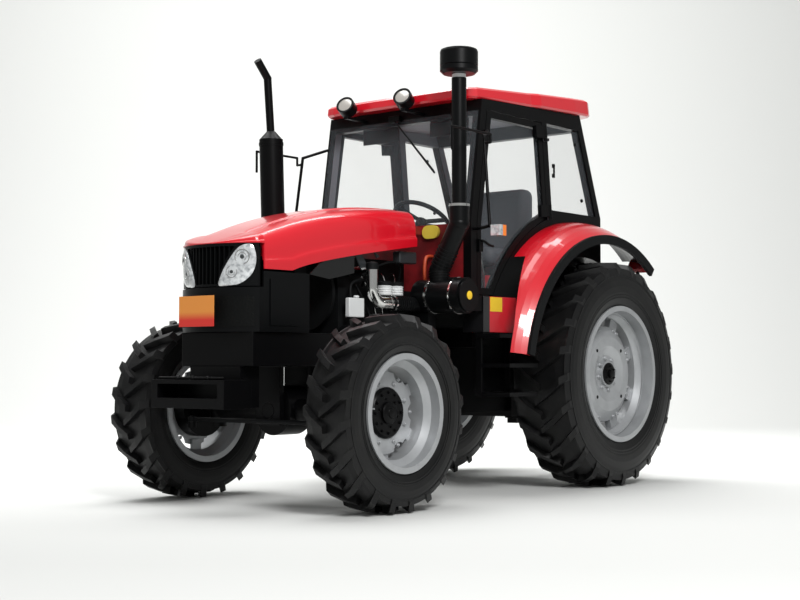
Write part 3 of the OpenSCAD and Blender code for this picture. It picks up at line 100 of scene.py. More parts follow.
def mottle(m, colour, size_mm, share):
    """Second colour in soft patches of size_mm."""
    tree = m.node_tree
    coords = add(tree, "ShaderNodeTexCoord")
    noise = add(tree, "ShaderNodeTexNoise", {"Vector": coords.outputs["Object"], "Scale": 1000 / size_mm,
                                             "Detail": 4.0})
    amount = add(tree, "ShaderNodeMapRange", {"Value": noise.outputs[0], "From Min": 0.42, "From Max": 0.68,
                                              "To Max": share})
    return blend(m, amount.outputs[0], colour)


def inner_side(m, colour, centre, mask, limit):
    """Second colour on the faces that look towards the centre, along the masked axes."""
    tree = m.node_tree
    coords = add(tree, "ShaderNodeTexCoord")
    away = add(tree, "ShaderNodeVectorMath", {0: coords.outputs["Object"], 1: centre}, operation="SUBTRACT")
    flat = add(tree, "ShaderNodeVectorMath", {0: away.outputs[0], 1: mask}, operation="MULTIPLY")
    dot = add(tree, "ShaderNodeVectorMath", {0: flat.outputs[0], 1: coords.outputs["Normal"]},
              operation="DOT_PRODUCT")
    inside = add(tree, "ShaderNodeMath", {0: dot.outputs["Value"], 1: -limit}, operation="LESS_THAN")
    return blend(m, inside.outputs[0], colour)


def along(m, colour, axis, low, high):
    """Second colour from low to high on an axis, the same on both sides of the tractor."""
    tree = m.node_tree
    coords = add(tree, "ShaderNodeTexCoord")
    parts = add(tree, "ShaderNodeSeparateXYZ", {0: coords.outputs["Object"]})
    place = parts.outputs[axis]
    if axis == "Y":
        place = add(tree, "ShaderNodeMath", {0: place}, operation="ABSOLUTE").outputs[0]
    amount = add(tree, "ShaderNodeMapRange", {"Value": place, "From Min": low, "From Max": high})
    return blend(m, amount.outputs[0], colour)


def red_enamel(name):
    return grain(material(name, "#cb0d20", 0.3, Coat_Weight=0.7, Coat_Roughness=0.05), 9, 0.04)


def black_enamel(name):
    return grain(material(name, "#070708", 0.34, Specular_IOR_Level=0.12), 6, 0.08)


looks = {
    # baked enamel on sheet metal
    "red_paint": red_enamel("red_enamel"),
    # chassis paint on castings and bars
    "black_paint": black_enamel("black_chassis_paint"),
    # oily cast iron
    "grey_metal": grain(mottle(material("dark_cast_iron", "#111213", 0.6, 0.1, Specular_IOR_Level=0.12),
                               "#0b0b0b", 60, 0.7), 4, 0.4),
    # moulded plastic with a fine skin
    "black_plastic": grain(material("black_moulded_plastic", "#08090a", 0.34, Specular_IOR_Level=0.14),
                           2, 0.06),
    # blank plate, red at the foot and orange above
    "orange_plate": along(material("orange_plate_paint", "#cf2f26", 0.4), "#dd8c3c", "Z", 1.065, 1.11),
    # aluminium paint on the rims
    "silver_paint": grain(mottle(material("silver_rim_paint", "#a8aaac", 0.38, 0.4), "#929496", 120, 0.5),
                          5, 0.05),
    # polished steel
    "bright_steel": material("polished_steel", "#dcdcda", 0.16, 1.0),
    # tyre rubber with a trace of dust
    "tyre_rubber": grain(mottle(material("tyre_rubber", "#0b0b0c", 0.42, Specular_IOR_Level=0.28), "#151514",
                                90, 0.6), 3, 0.15),
    # hoses and fender lips
    "rubber_trim": grain(material("black_rubber_trim", "#0e0f10", 0.55, Specular_IOR_Level=0.12), 2, 0.08),
    # mat on the cab floor
    "floor_mat": grain(material("rubber_floor_mat", "#1a1b1c", 0.75), 12, 0.4),
    # tinted safety glass, seen as a thin pane
    "clear_glass": material("tinted_cab_glass", "#8b9298", 0.02, Alpha=0.08, Specular_IOR_Level=0.6),
    # moulded lens over a bright reflector
    "lamp_lens": grain(mottle(material("clear_lamp_lens", "#dfe2e4", 0.14, 0.35, Coat_Weight=1.0,
                                       Coat_Roughness=0.02), "#84898d", 26, 0.8), 24, 3,
                       "ShaderNodeTexVoronoi"),
    # coloured lenses with small prisms
    "amber_lens": grain(material("amber_lens", "#f08a1e", 0.15, Coat_Weight=1.0), 8, 0.5,
                        "ShaderNodeTexVoronoi"),
    "red_lens": grain(material("red_lens", "#b0121a", 0.15, Coat_Weight=1.0), 8, 0.5, "ShaderNodeTexVoronoi"),
    # seat vinyl
    "seat_cover": grain(material("grey_seat_vinyl", "#4a4c52", 0.6), 3, 0.15),
}
# looks of small pieces that have no slot of their own
extras = {
    # glass of the work lamps on the roof
    "lamp_glass": grain(material("work_lamp_glass", "#a9a59f", 0.2, 0.2, Coat_Weight=1.0), 9, 0.8),
    # blank labels and the canister's cap
    "label_yellow": material("yellow_label_film", "#e8c02c", 0.4),
    # filter bowls, header tank and intake collar
    "white_plastic": material("white_plastic", "#d4d6d6", 0.4),
    # lining of the roof
    "grey_trim": grain(material("grey_cab_lining", "#7d7e84", 0.7), 4, 0.15),
    # dull strips, tank ends and lamp bulbs
    "grey_film": material("grey_panel_film", "#2e3133", 0.4),
    # hose at the wall behind the engine
    "hose_orange": material("orange_hose", "#b4431f", 0.5),
    # inserts under the bonnet's edge
    "gloss_black": material("gloss_black_plastic", "#070808", 0.2, Coat_Weight=0.2),
    # wire mesh low on the nose
    "mesh_black": grain(material("black_wire_mesh", "#0a0b0b", 0.5, Specular_IOR_Level=0.1), 14, 2.5,
                        "ShaderNodeTexVoronoi"),
}
slots = {p["node"]: p["material_slot"] for p in frame["record"]["subparts"]}
# black outside, grey lining inside the cab
cab_paint = inner_side(black_enamel("black_cab_paint"), "#6d6e74", (0, 0, 0), (0, 1, 0), 0.1)
own_looks = {
    "cab_frame": cab_paint,
    "left_cab_side": cab_paint,
    "right_cab_side": cab_paint,
    # painted shade: black on the faces under the fenders that look towards the fenders' axis
    "fenders": inner_side(red_enamel("red_fender_enamel_painted_shade"), "#101011", (-0.915, 0, 0.694), (1, 0, 1), 0.3),
    # the markers by the bonnet are yellow, the rear halves of the turn lamps amber
    "amber_lamps": along(material("amber_and_yellow_lens", "#d8c048", 0.18, Coat_Weight=1.0), "#ee7a14",
                         "Y", 0.5, 0.6),
    # the wall behind the engine: red darkened as painted shade, with darker soft patches
    "firewall": mottle(material("painted_shade_red_enamel", "#7d0f16", 0.5), "#4a0a0e", 150, 0.8),
    # red boxes with a black front end
    "side_boxes": along(red_enamel("red_box_enamel"), "#121214", "X", 0.088, 0.092),
}
for name, obj in nodes.items():
    obj.data.materials.clear()
    obj.data.materials.append(own_looks.get(name, looks[slots[name]]))


# Shapes: each is (points, faces)

def eased(a, b, c, d, t):
    """Point at share t of the way from b to c, on a smooth line through a, b, c and d."""
    return [0.5 * (2 * q + (r - p) * t + (2 * p - 5 * q + 4 * r - s) * t ** 2
                   + (3 * q - p - 3 * r + s) * t ** 3) for p, q, r, s in zip(a, b, c, d)]


def block(a, b):
    """Box between two corners."""
    points = [(x, y, z) for x in (a[0], b[0]) for y in (a[1], b[1]) for z in (a[2], b[2])]
    return points, [(0, 1, 3, 2), (4, 6, 7, 5), (0, 4, 5, 1), (2, 3, 7, 6), (0, 2, 6, 4), (1, 5, 7, 3)]


def side_axes(axis):
    axis = Vector(axis).normalized()
    u = axis.orthogonal().normalized()
    return u, axis.cross(u)


def skin(rings, n):
    """Faces between rings of n points, and a face at each end."""
    faces = [(k * n + i, k * n + (i + 1) % n, (k + 1) * n + (i + 1) % n, (k + 1) * n + i)
             for k in range(rings - 1) for i in range(n)]
    return faces + [tuple(reversed(range(n))), tuple(range((rings - 1) * n, rings * n))]


def turned(profile, origin, axis, n=32):
    """Turned piece: profile of (radius, distance along the axis), capped at both ends."""
    u, v = side_axes(axis)
    axis = Vector(axis).normalized()
    points = [Vector(origin) + axis * h + (u * math.cos(a) + v * math.sin(a)) * r
              for r, h in profile for a in [2 * math.pi * i / n for i in range(n)]]
    return points, skin(len(profile), n)


def ring(radius, thick, height, origin, axis, n=32):
    """Band round an axis, open in the middle."""
    points, faces = turned([(radius, 0), (radius + thick, 0), (radius + thick, height), (radius, height),
                            (radius, 0)], origin, axis, n)
    return points, faces[:-2]


def tube(path, radius, n=10, steps=6):
    """Round tube on a smooth line through the points of the path."""
    p = [Vector(q) for q in path]
    line = []
    for i in range(len(p) - 1):
        a, b, c, d = p[max(i - 1, 0)], p[i], p[i + 1], p[min(i + 2, len(p) - 1)]
        for t in [k / steps for k in range(steps)]:
            line.append(Vector(eased(a, b, c, d, t)))
    line.append(p[-1])
    u = side_axes(line[1] - line[0])[0]
    points = []
    for i, q in enumerate(line):
        ahead = (line[min(i + 1, len(line) - 1)] - line[max(i - 1, 0)]).normalized()
        u = (u - ahead * u.dot(ahead)).normalized()
        v = ahead.cross(u)
        points += [q + (u * math.cos(2 * math.pi * k / n) + v * math.sin(2 * math.pi * k / n)) * radius
                   for k in range(n)]
    return points, skin(len(line), n)


def plate(outline, y0, y1):
    """Flat plate with an outline in X and Z."""
    n = len(outline)
    points = [(x, y0, z) for x, z in outline] + [(x, y1, z) for x, z in outline]
    sides = [(i, (i + 1) % n, n + (i + 1) % n, n + i) for i in range(n)]
    return points, sides + [tuple(reversed(range(n))), tuple(range(n, 2 * n))]


def mirrored(shape):
    points, faces = shape
    return [(q[0], -q[1], q[2]) for q in points], [tuple(reversed(f)) for f in faces]


def both(*shapes):
    return [s for shape in shapes for s in (shape, mirrored(shape))]


def piece(name, shapes, look, body, bevel=0.0, smooth=40):
    """One object of several shapes that rides on a body."""
    points, faces = [], []
    for p, f in shapes:
        faces += [tuple(i + len(points) for i in face) for face in f]
        points += [tuple(q) for q in p]
    mesh = bpy.data.meshes.new(name)
    mesh.from_pydata(points, [], faces)
    mesh.validate()
    mesh.shade_smooth()
    mesh.set_sharp_from_angle(angle=math.radians(smooth))
    mesh.materials.append(looks.get(look) or extras[look])
    obj = bpy.data.objects.new(name, mesh)
    scene.collection.objects.link(obj)
    if bevel:
        soften(obj, bevel)
    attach(obj, body)
    return obj


def soften(obj, width):
    """Rounded edges."""
    weld = obj.modifiers.new("weld", "WELD")
    weld.merge_threshold = 0.0001
    edge = obj.modifiers.new("edge", "BEVEL")
    edge.width = width
    edge.segments = 3
    edge.limit_method = "ANGLE"
    edge.angle_limit = math.radians(50)


for name, width in {"cab_roof": 0.012, "side_boxes": 0.004, "tow_bracket": 0.006, "front_frame": 0.006,
                    "dashboard": 0.015, "number_plate": 0.0015, "amber_lamps": 0.02}.items():
    soften(nodes[name], width)


# Bonnet: one smooth pressing

BONNET_REAR, BONNET_REF, NOSE_EDGE, NOSE_TIP = 0.445, 1.825, 1.795, 1.915
NOSE_R, NOSE_HALF, BONNET_HALF = 0.4604, 0.310, 0.345
NOSE_CENTRE = NOSE_TIP - NOSE_R
BROW_LAP = 0.038
BONNET_TOP, BROW_LOW, SIDE_REAR, SIDE_FRONT = 1.795, 1.490, 1.552, 1.348
SECTION = [(1, 0), (1, 0.2), (0.97, 0.28), (0.955, 0.55), (0.905, 0.76), (0.8, 0.885), (0.62, 0.945),
           (0.5, 0.962), (0.45, 0.99), (0.24, 1), (0, 1)]


def bonnet_half(x):
    if x <= NOSE_EDGE:
        share = (x - BONNET_REAR) / (NOSE_EDGE - BONNET_REAR)
        return BONNET_HALF + (NOSE_HALF - BONNET_HALF) * max(share, 0) ** 1.5
    return math.sqrt(max(NOSE_R ** 2 - (x - NOSE_TIP + NOSE_R) ** 2, 0))


def bonnet_share(x):
    return max((x - BONNET_REAR) / (BONNET_REF - BONNET_REAR), 0)


def bonnet_top(x):
    return BONNET_TOP - 0.262 * bonnet_share(x) ** 2.2


def bonnet_low(x):
    if x > NOSE_EDGE - BROW_LAP:
        return BROW_LOW
    return SIDE_FRONT + (SIDE_REAR - SIDE_FRONT) * max(1 - bonnet_share(x) / 0.79, 0) ** 0.75


def fine_section(steps=4):
    """Half section from the lower edge to the crown, corners eased."""
    out = []
    for i in range(len(SECTION) - 1):
        a, b, c, d = (SECTION[min(max(j, 0), len(SECTION) - 1)] for j in (i - 1, i, i + 1, i + 2))
        for t in [k / steps for k in range(steps)]:
            out.append(eased(a, b, c, d, t))
    return out + [[0, 1]]


def bonnet_shell(thick=0.014):
    half = fine_section()
    section = [(s, h) for s, h in half] + [(-s, h) for s, h in reversed(half[:-1])]
    xs = [BONNET_REAR + (NOSE_EDGE - 0.042 - BONNET_REAR) * i / 50 for i in range(51)]
    xs += [NOSE_EDGE - 0.0375, NOSE_EDGE - 0.018]
    xs += [NOSE_EDGE + 0.12 * (1 - (1 - i / 14.84) ** 2) for i in range(15)]
    points = []
    for t in (0, thick):
        for x in xs:
            low, wide = bonnet_low(x), bonnet_half(x) - t
            tall = max(bonnet_top(x) - t - low, 0.001)
            points += [(x, wide * s, low + tall * min(h, 1)) for s, h in section]
    n, m = len(section), len(xs)
    faces = []
    for i in range(m - 1):
        for j in range(n - 1):
            a, b = i * n + j, (i + 1) * n + j
            faces += [(a, b, b + 1, a + 1), (m * n + a, m * n + a + 1, m * n + b + 1, m * n + b)]
        for j, turn in ((0, 1), (n - 1, -1)):
            a, b = i * n + j, (i + 1) * n + j
            faces.append((a, m * n + a, m * n + b, b)[::turn])
    for i, turn in ((0, 1), (m - 1, -1)):
        for j in range(n - 1):
            a = i * n + j
            faces.append((a, a + 1, m * n + a + 1, m * n + a)[::turn])
    return points, faces


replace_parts(piece("bonnet_pressing", [bonnet_shell()], "red_paint", "bonnet", smooth=50), "bonnet")

# dark inserts and grey strips under the bonnet edge
insert = [(1.385, 1.335), (1.304, 1.40), (1.147, 1.455), (0.995, 1.495), (0.995, 1.361), (1.103, 1.338),
          (1.217, 1.315)]
long_strip = [(0.985, 1.485), (0.925, 1.495), (0.848, 1.398), (0.913, 1.383)]
short_strip = [(0.805, 1.51), (0.745, 1.475), (0.773, 1.463)]
piece("bonnet_inserts", both(plate(insert, 0.296, 0.304)), "gloss_black", "bonnet")
piece("bonnet_strips", both(plate(long_strip, 0.284, 0.292), plate(short_strip, 0.284, 0.292)), "grey_film",
      "bonnet")
piece("tank_ends", both(block((0.392, 0.24, 1.446), (0.561, 0.300, 1.520))), "grey_film", "chassis", 0.008)


def on_nose(y, z, out):
    """Point on the nose arc and the direction away from it."""
    a = math.asin(y / NOSE_R)
    r = NOSE_R + out
    return (NOSE_CENTRE + r * math.cos(a), r * math.sin(a), z), (math.cos(a), math.sin(a), 0)


# headlamp reflectors with bulbs
LAMP = [(0.324, 0.03), (0.525, 0.025), (0.724, 0.08), (0.887, 0.29), (0.944, 0.6), (0.908, 0.9),
        (0.824, 0.965), (0.667, 0.874), (0.492, 0.567), (0.364, 0.265)]
LAMP_MIDDLE = (0.66, 0.52)
GRILLE_LOW = 1.252


def lamp_edge(scale, steps=5):
    """Eased outline of a headlamp as (Y, Z), scaled about its middle."""
    out, n = [], len(LAMP)
    for i in range(n):
        a, b, c, d = (LAMP[(i + j) % n] for j in (-1, 0, 1, 2))
        for t in [k / steps for k in range(steps)]:
            u, v = (m + scale * (w - m) for w, m in zip(eased(a, b, c, d, t), LAMP_MIDDLE))
            out.append((u * NOSE_HALF, GRILLE_LOW + v * (BROW_LOW - GRILLE_LOW)))
    return out


def lamp_lens():
    """Lens with a slight bulge, and its edge back to the grille."""
    rings = [(1.025, -0.034), (1.025, -0.003), (0.98, 0.0), (0.8, 0.004), (0.55, 0.007), (0.3, 0.0085),
             (0.06, 0.009)]
    points = [on_nose(y, z, out)[0] for scale, out in rings for y, z in lamp_edge(scale)]
    return points, skin(len(rings), len(lamp_edge(1)))


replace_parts(piece("headlamp_lenses", both(lamp_lens()), "lamp_lens", "bonnet"), "headlamps")
bowls, bulbs = [], []
for y, z, r in ((0.232, 1.412, 0.043), (0.178, 1.330, 0.034)):
    at, away = on_nose(y, z, 0.0045)
    bowls += both(ring(r * 0.88, r * 0.12, 0.003, at, away, 36), ring(r * 0.5, r * 0.08, 0.003, at, away, 28))
    bulbs += both(turned([(r * 0.3, 0), (r * 0.28, 0.004), (r * 0.1, 0.006)], at, away, 20))
piece("headlamp_reflectors", bowls, "bright_steel", "bonnet")
piece("headlamp_bulbs", bulbs, "grey_film", "bonnet")

# wire mesh low on the nose
arc = [math.radians(a) for a in range(-39, 40, 3)]
low_mesh = [(NOSE_CENTRE + r * math.cos(a), r * math.sin(a), z) for r in (NOSE_R + 0.0004, NOSE_R + 0.004)
            for z in (1.028, 1.196) for a in arc]
k = len(arc)
quads = []
for i in range(k - 1):
    quads += [(2 * k + i, 2 * k + i + 1, 3 * k + i + 1, 3 * k + i), (i, k + i, k + i + 1, i + 1),
              (k + i, 3 * k + i, 3 * k + i + 1, k + i + 1), (i, i + 1, 2 * k + i + 1, 2 * k + i)]
piece("nose_mesh", [(low_mesh, quads)], "mesh_black", "chassis")


# Wheels

FRONT_X, FRONT_Y, FRONT_Z = 1.275, 0.784, 0.551
REAR_X, REAR_Y, REAR_Z = -1.025, 0.739, 0.756


def nut(centre, y, out, radius, height):
    """Hexagon nut with a stud, on a face that looks along out."""
    r, h = radius, height
    at = (centre[0], y, centre[1])
    profile = [(r, 0), (r, 0.7 * h), (0.8 * r, h), (0.5 * r, h), (0.5 * r, 1.5 * h), (0.4 * r, 1.6 * h)]
    return turned(profile, at, (0, out, 0), 12)


def circle_of(x, z, radius, count, start=0.0):
    return [(x + radius * math.sin(math.radians(start + 360 * i / count)),
             z + radius * math.cos(math.radians(start + 360 * i / count))) for i in range(count)]


for side, out in (("left", 1), ("right", -1)):
    x, y, z = FRONT_X, out * FRONT_Y, FRONT_Z
    body = f"front_{side}_wheel"
    hub = [turned([(0.062, 0), (0.062, 0.012), (0.05, 0.022), (0.03, 0.022), (0.026, 0.028), (0.01, 0.03)],
                  (x, y + out * 0.014, z), (0, out, 0), 36)]
    hub += [nut(c, y + out * 0.014, out, 0.009, 0.008) for c in circle_of(x, z, 0.113, 12)]
    hub += [nut(c, y + out * 0.014, out, 0.007, 0.006) for c in circle_of(x, z, 0.08, 6, 15)]
    piece(f"front_{side}_hub_bolts", hub, "black_paint", body)
    rim = [nut(c, y - out * 0.008, out, 0.013, 0.012) for c in circle_of(x, z, 0.172, 8, 22.5)]
    rim += [nut(c, y - out * 0.008, out, 0.011, 0.010) for c in circle_of(x, z, 0.210, 6, 30)]
    rim.append(tube([(x + 0.25, y + out * 0.05, z + 0.03), (x + 0.24, y + out * 0.09, z + 0.03),
                     (x + 0.235, y + out * 0.11, z + 0.03)], 0.005, 8, 3))
    piece(f"front_{side}_wheel_nuts", rim, "silver_paint", body)
    walls = [ring(r, 0.006, 0.003, (x, y + s * d, z), (0, s, 0), 96)
             for s in (1, -1) for r, d in ((0.374, 0.1495), (0.388, 0.1515), (0.470, 0.149))]
    piece(f"front_{side}_tyre_rings", walls, "tyre_rubber", body)

    x, y, z = REAR_X, out * REAR_Y, REAR_Z
    body = f"rear_{side}_wheel"
    cap = [turned([(0.074, 0), (0.074, 0.006), (0.066, 0.012), (0.03, 0.012), (0.026, 0.03), (0.01, 0.032)],
                  (x, y + out * 0.096, z), (0, out, 0), 36)]
    cap += [nut(c, y + out * 0.107, out, 0.009, 0.008) for c in circle_of(x, z, 0.052, 6)]
    cap += [turned([(0.012, 0), (0.012, 0.0012)], (c[0], y + out * 0.1022, c[1]), (0, out, 0), 16)
            for c in circle_of(x, z, 0.219, 4, 45)]
    piece(f"rear_{side}_hub_cap", cap, "black_paint", body)
    rim = [nut(c, y + out * 0.076, out, 0.014, 0.013) for c in circle_of(x, z, 0.108, 8, 11)]
    rim += [nut((c[0], c[1]), y + out * 0.068, out, 0.013, 0.012)
            for a in (18.0, 27.0) for c in circle_of(x, z, 0.305, 8, a)]
    rim += [ring(0.398, 0.006, 0.004, (x, y + out * 0.13, z), (0, out, 0), 72)]
    rim.append(tube([(x + 0.38, y + out * 0.08, z + 0.06), (x + 0.37, y + out * 0.12, z + 0.06),
                     (x + 0.36, y + out * 0.14, z + 0.06)], 0.005, 8, 3))
    piece(f"rear_{side}_wheel_nuts", rim, "silver_paint", body)
    walls = [ring(r, 0.008, 0.003, (x, y + s * d, z), (0, s, 0), 112)
             for s in (1, -1) for r, d in ((0.512, 0.205), (0.530, 0.2085), (0.655, 0.2075))]
    piece(f"rear_{side}_tyre_rings", walls, "tyre_rubber", body)


# Engine bay

pots, lids = [], []
for x in (0.594, 0.700):
    pots.append(turned([(0.03, 0), (0.046, 0.004), (0.049, 0.012), (0.045, 0.018), (0.049, 0.026),
                        (0.045, 0.032), (0.049, 0.040), (0.045, 0.046), (0.049, 0.056), (0.04, 0.064),
                        (0.02, 0.066)], (x, 0.292, 1.238), (0, 0, 1), 32))
    lids.append(turned([(0.05, 0), (0.05, 0.016), (0.03, 0.022), (0.01, 0.024)], (x, 0.292, 1.304),
                       (0, 0, 1), 24))
piece("fuel_filters", pots, "white_plastic", "chassis")
piece("fuel_filter_heads", lids + [block((0.58, 0.2, 1.306), (0.715, 0.30, 1.322))], "grey_metal", "chassis")
piece("header_tank", [block((0.892, 0.262, 1.100), (1.030, 0.296, 1.215)),
                      turned([(0.018, 0), (0.018, 0.014), (0.01, 0.016)], (0.95, 0.28, 1.215), (0, 0, 1),
                             20)], "white_plastic", "chassis", 0.006)
hoses = [tube([(1.03, 0.09, 1.42), (1.10, 0.10, 1.44), (1.28, 0.10, 1.43), (1.37, 0.10, 1.42)], 0.026, 14),
         tube([(1.03, -0.12, 0.95), (1.12, -0.16, 0.98), (1.30, -0.16, 1.04), (1.37, -0.14, 1.06)],
              0.026, 14),
         tube([(0.60, 0.27, 0.93), (0.62, 0.31, 1.05), (0.66, 0.29, 1.16), (0.66, 0.24, 1.29)], 0.009),
         tube([(0.72, 0.27, 0.93), (0.80, 0.30, 1.02), (0.84, 0.27, 1.16), (0.86, 0.2, 1.30)], 0.007),
         tube([(0.32, 0.24, 0.95), (0.40, 0.29, 0.98), (0.52, 0.28, 0.92), (0.60, 0.24, 0.90)], 0.012),
         tube([(0.46, 0.20, 1.31), (0.50, 0.25, 1.42), (0.60, 0.26, 1.45), (0.74, 0.2, 1.40)], 0.008),
         tube([(0.80, 0.2, 1.30), (0.86, 0.26, 1.33), (0.97, 0.26, 1.30), (0.99, 0.27, 1.21)], 0.009)]
piece("engine_hoses", hoses, "rubber_trim", "chassis")
lines = [tube([(0.50 + 0.12 * i, 0.14, 1.36), (0.51 + 0.12 * i, 0.20, 1.38), (0.53 + 0.1 * i, 0.235, 1.33),
               (0.56 + 0.07 * i, 0.275, 1.15), (0.56 + 0.06 * i, 0.27, 0.93)], 0.004, 8) for i in range(4)]
piece("injection_lines", lines, "bright_steel", "chassis")
# rubber cap on the charge pipe
cap = [(0.0365, 0), (0.0385, 0.002), (0.0385, 0.036), (0.03, 0.044), (0.01, 0.047)]
piece("charge_pipe_cap", [turned(cap, (0.880, 0.345, 1.386), (0, 0, 1), 28)], "rubber_trim", "chassis")
piece("orange_hose", [tube([(0.275, 0.33, 1.50), (0.34, 0.335, 1.49), (0.358, 0.335, 1.43),
                            (0.356, 0.335, 1.36), (0.34, 0.33, 1.30)], 0.011)], "hose_orange", "chassis")
piece("front_drive_shaft", [tube([(1.14, 0, 0.525), (0.7, 0, 0.523), (0.25, 0, 0.52)], 0.028, 16, 3)],
      "black_paint", "chassis")

# air intake: clamps, corrugated hose, end cap
bands = [ring(0.0635, 0.002, 0.016, (0.390, 0.630, 1.786), (0, 0, 1)),
         ring(0.0362, 0.0035, 0.014, (0.712, 0.345, 1.190), (1, 0, 0)),
         ring(0.0442, 0.0025, 0.014, (0.682, 0.345, 1.190), (1, 0, 0)),
         ring(0.1052, 0.003, 0.018, (0.390, 0.430, 1.240), (0, 1, 0), 48),
         ring(0.1112, 0.0025, 0.010, (0.390, 0.620, 1.240), (0, 1, 0), 48)]
piece("intake_clamps", bands, "bright_steel", "chassis")
folds = [ring(0.061, 0.007, 0.007, (0.390, 0.475, 1.356 + 0.016 * i), (0, 0, 1)) for i in range(3)]
slope = Vector((0, 0.155, 0.28)).normalized()
folds += [ring(0.061, 0.006, 0.008, Vector((0.390, 0.475, 1.400)) + slope * (0.03 + 0.022 * i), slope)
          for i in range(6)]
folds += [ring(0.0445, 0.004, 0.006, (0.53 + 0.02 * i, 0.345, 1.190), (1, 0, 0)) for i in range(7)]
piece("intake_folds", folds, "rubber_trim", "chassis", smooth=60)
piece("pre_cleaner_collar", [ring(0.0402, 0.003, 0.022, (0.390, 0.630, 2.5815), (0, 0, 1))],
      "white_plastic", "chassis")
piece("canister_cap", [turned([(0.026, 0), (0.026, 0.004), (0.02, 0.007), (0.008, 0.008)],
                              (0.390, 0.7052, 1.240), (0, 1, 0), 28)], "label_yellow", "chassis")
catches = [block((0.390 + 0.112 * math.sin(a) - 0.008, 0.585, 1.240 + 0.112 * math.cos(a) - 0.008),
                 (0.390 + 0.112 * math.sin(a) + 0.008, 0.640, 1.240 + 0.112 * math.cos(a) + 0.008))
           for a in (0.4, 2.5, 4.6)]
piece("canister_catches", catches, "grey_metal", "chassis", 0.002)

# exhaust clamps
piece("exhaust_clamps", [ring(0.0752, 0.003, 0.020, (0.9008, -0.450, 1.500), (0.0395, 0, 1)),
                         ring(0.0752, 0.003, 0.020, (0.9285, -0.450, 2.200), (0.0395, 0, 1))],
      "black_paint", "chassis")


# Cab

# lining under the roof
front, back = (0.085, 2.4895), (-0.965, 2.5315)
lining = [front, back, (back[0], back[1] - 0.02), (front[0], front[1] - 0.02)]
piece("headliner", [plate(lining, -0.57, 0.57)], "grey_trim", "chassis")
visors = [block((0.082, y0, 2.295), (0.092, y1, 2.392)) for y0, y1 in ((-0.40, -0.09), (0.17, 0.48))]
piece("sun_visors", visors, "black_plastic", "chassis", 0.004)
# windscreen wiper
piece("wiper", [block((0.168, -0.085, 2.405), (0.205, 0.005, 2.445)),
                tube([(0.200, -0.045, 2.420), (0.222, 0.08, 2.295), (0.246, 0.32, 2.050)], 0.006, 8, 3),
                tube([(0.209, 0.095, 2.270), (0.2405, 0.325, 2.035)], 0.007, 8, 2)],
      "black_plastic", "chassis", 0.004)
# inner panels beside the doors and blank labels on the outer ones
piece("inner_panels", both(block((-0.245, 0.54, 1.201), (0.0, 0.572, 1.385))), "red_paint", "chassis", 0.004)
piece("side_labels", both(block((-0.045, 0.6436, 1.152), (0.085, 0.6442, 1.242))), "label_yellow", "chassis")
# rims and glasses of the work lamps
face = Vector((0.875, 0.235, 0.423))
rims, glasses = [], []
for y in (-0.320, 0.163):
    at = Vector((0.360, y, 2.518))
    rims.append(ring(0.048, 0.013, 0.022, at - face * 0.002, face, 40))
    glasses.append(turned([(0.048, 0), (0.047, 0.002), (0.03, 0.0045), (0.005, 0.0055)],
                          at + face * 0.0142, face, 36))
piece("work_lamp_rims", rims, "black_plastic", "chassis")
piece("work_lamp_glasses", glasses, "lamp_glass", "chassis")
# window catches and door handles
knobs = [turned([(0.013, 0), (0.013, 0.008), (0.008, 0.012)], (x, 0.6352, z), (0, 1, 0), 18)
         for x, z in ((-0.923, 2.323), (-1.009, 1.945))]
catch = [block((-0.664, 0.6352, 2.069), (-0.642, 0.648, 2.095)),
         block((-0.664, 0.6352, 2.135), (-0.642, 0.648, 2.161)),
         block((-0.668, 0.6352, 2.085), (-0.656, 0.645, 2.145))]
piece("window_catches", both(*knobs, *catch), "black_plastic", "chassis", 0.002)
for side, out in (("left", 1), ("right", -1)):
    grip = [block((0.165, 0.6352, 1.52), (0.205, 0.650, 1.60)),
            tube([(0.185, 0.645, 1.59), (0.180, 0.668, 1.585), (0.130, 0.670, 1.565), (0.085, 0.668, 1.56)],
                 0.009, 10, 4)]
    piece(f"{side}_door_handle", grip if out > 0 else [mirrored(s) for s in grip], "black_plastic",
          f"{side}_door", 0.003)

# seat
pedestal = piece("seat_pedestal", [block((-0.875, -0.15, 1.201), (-0.625, 0.15, 1.505))],
                 "black_plastic", "chassis", 0.02)
cushion = piece("seat_cushion", [block((-0.965, -0.23, 1.500), (-0.505, 0.23, 1.620))],
                "seat_cover", "chassis", 0.045)
backrest = piece("seat_backrest", [block((-1.065, -0.22, 1.600), (-0.925, 0.22, 2.060))],
                 "seat_cover", "chassis", 0.055)
for obj in (pedestal, cushion, backrest):
    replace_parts(obj, "seat")

# instrument hood and hand levers
piece("instrument_hood", [block((0.06, -0.20, 1.590), (0.225, 0.20, 1.665))], "black_plastic", "chassis",
      0.025)
levers, knobs = [], []
for x, y, z, dx in ((-0.40, -0.34, 1.62, 0.05), (-0.52, -0.36, 1.55, 0.04), (-0.30, 0.33, 1.58, 0.06),
                    (-0.05, 0.31, 1.66, 0.03)):
    levers.append(tube([(x, y, 1.201), (x + 0.4 * dx, y, 1.40), (x + dx, y, z)], 0.009, 10, 4))
    knobs.append(turned([(0.008, -0.022), (0.02, -0.01), (0.024, 0.006), (0.016, 0.022), (0.004, 0.026)],
                        (x + dx, y, z + 0.015), (0, 0, 1), 20))
piece("hand_levers", levers, "bright_steel", "chassis")
piece("lever_knobs", knobs, "black_plastic", "chassis")

# stays of the rear fenders
stay = tube([(-1.485, 0.80, 1.470), (-1.575, 0.80, 1.365), (-1.660, 0.79, 1.270), (-1.668, 0.70, 1.262),
             (-1.664, 0.52, 1.262), (-1.60, 0.497, 1.262), (-1.266, 0.497, 1.262)], 0.012, 12)
piece("fender_stays", both(stay), "black_paint", "chassis")

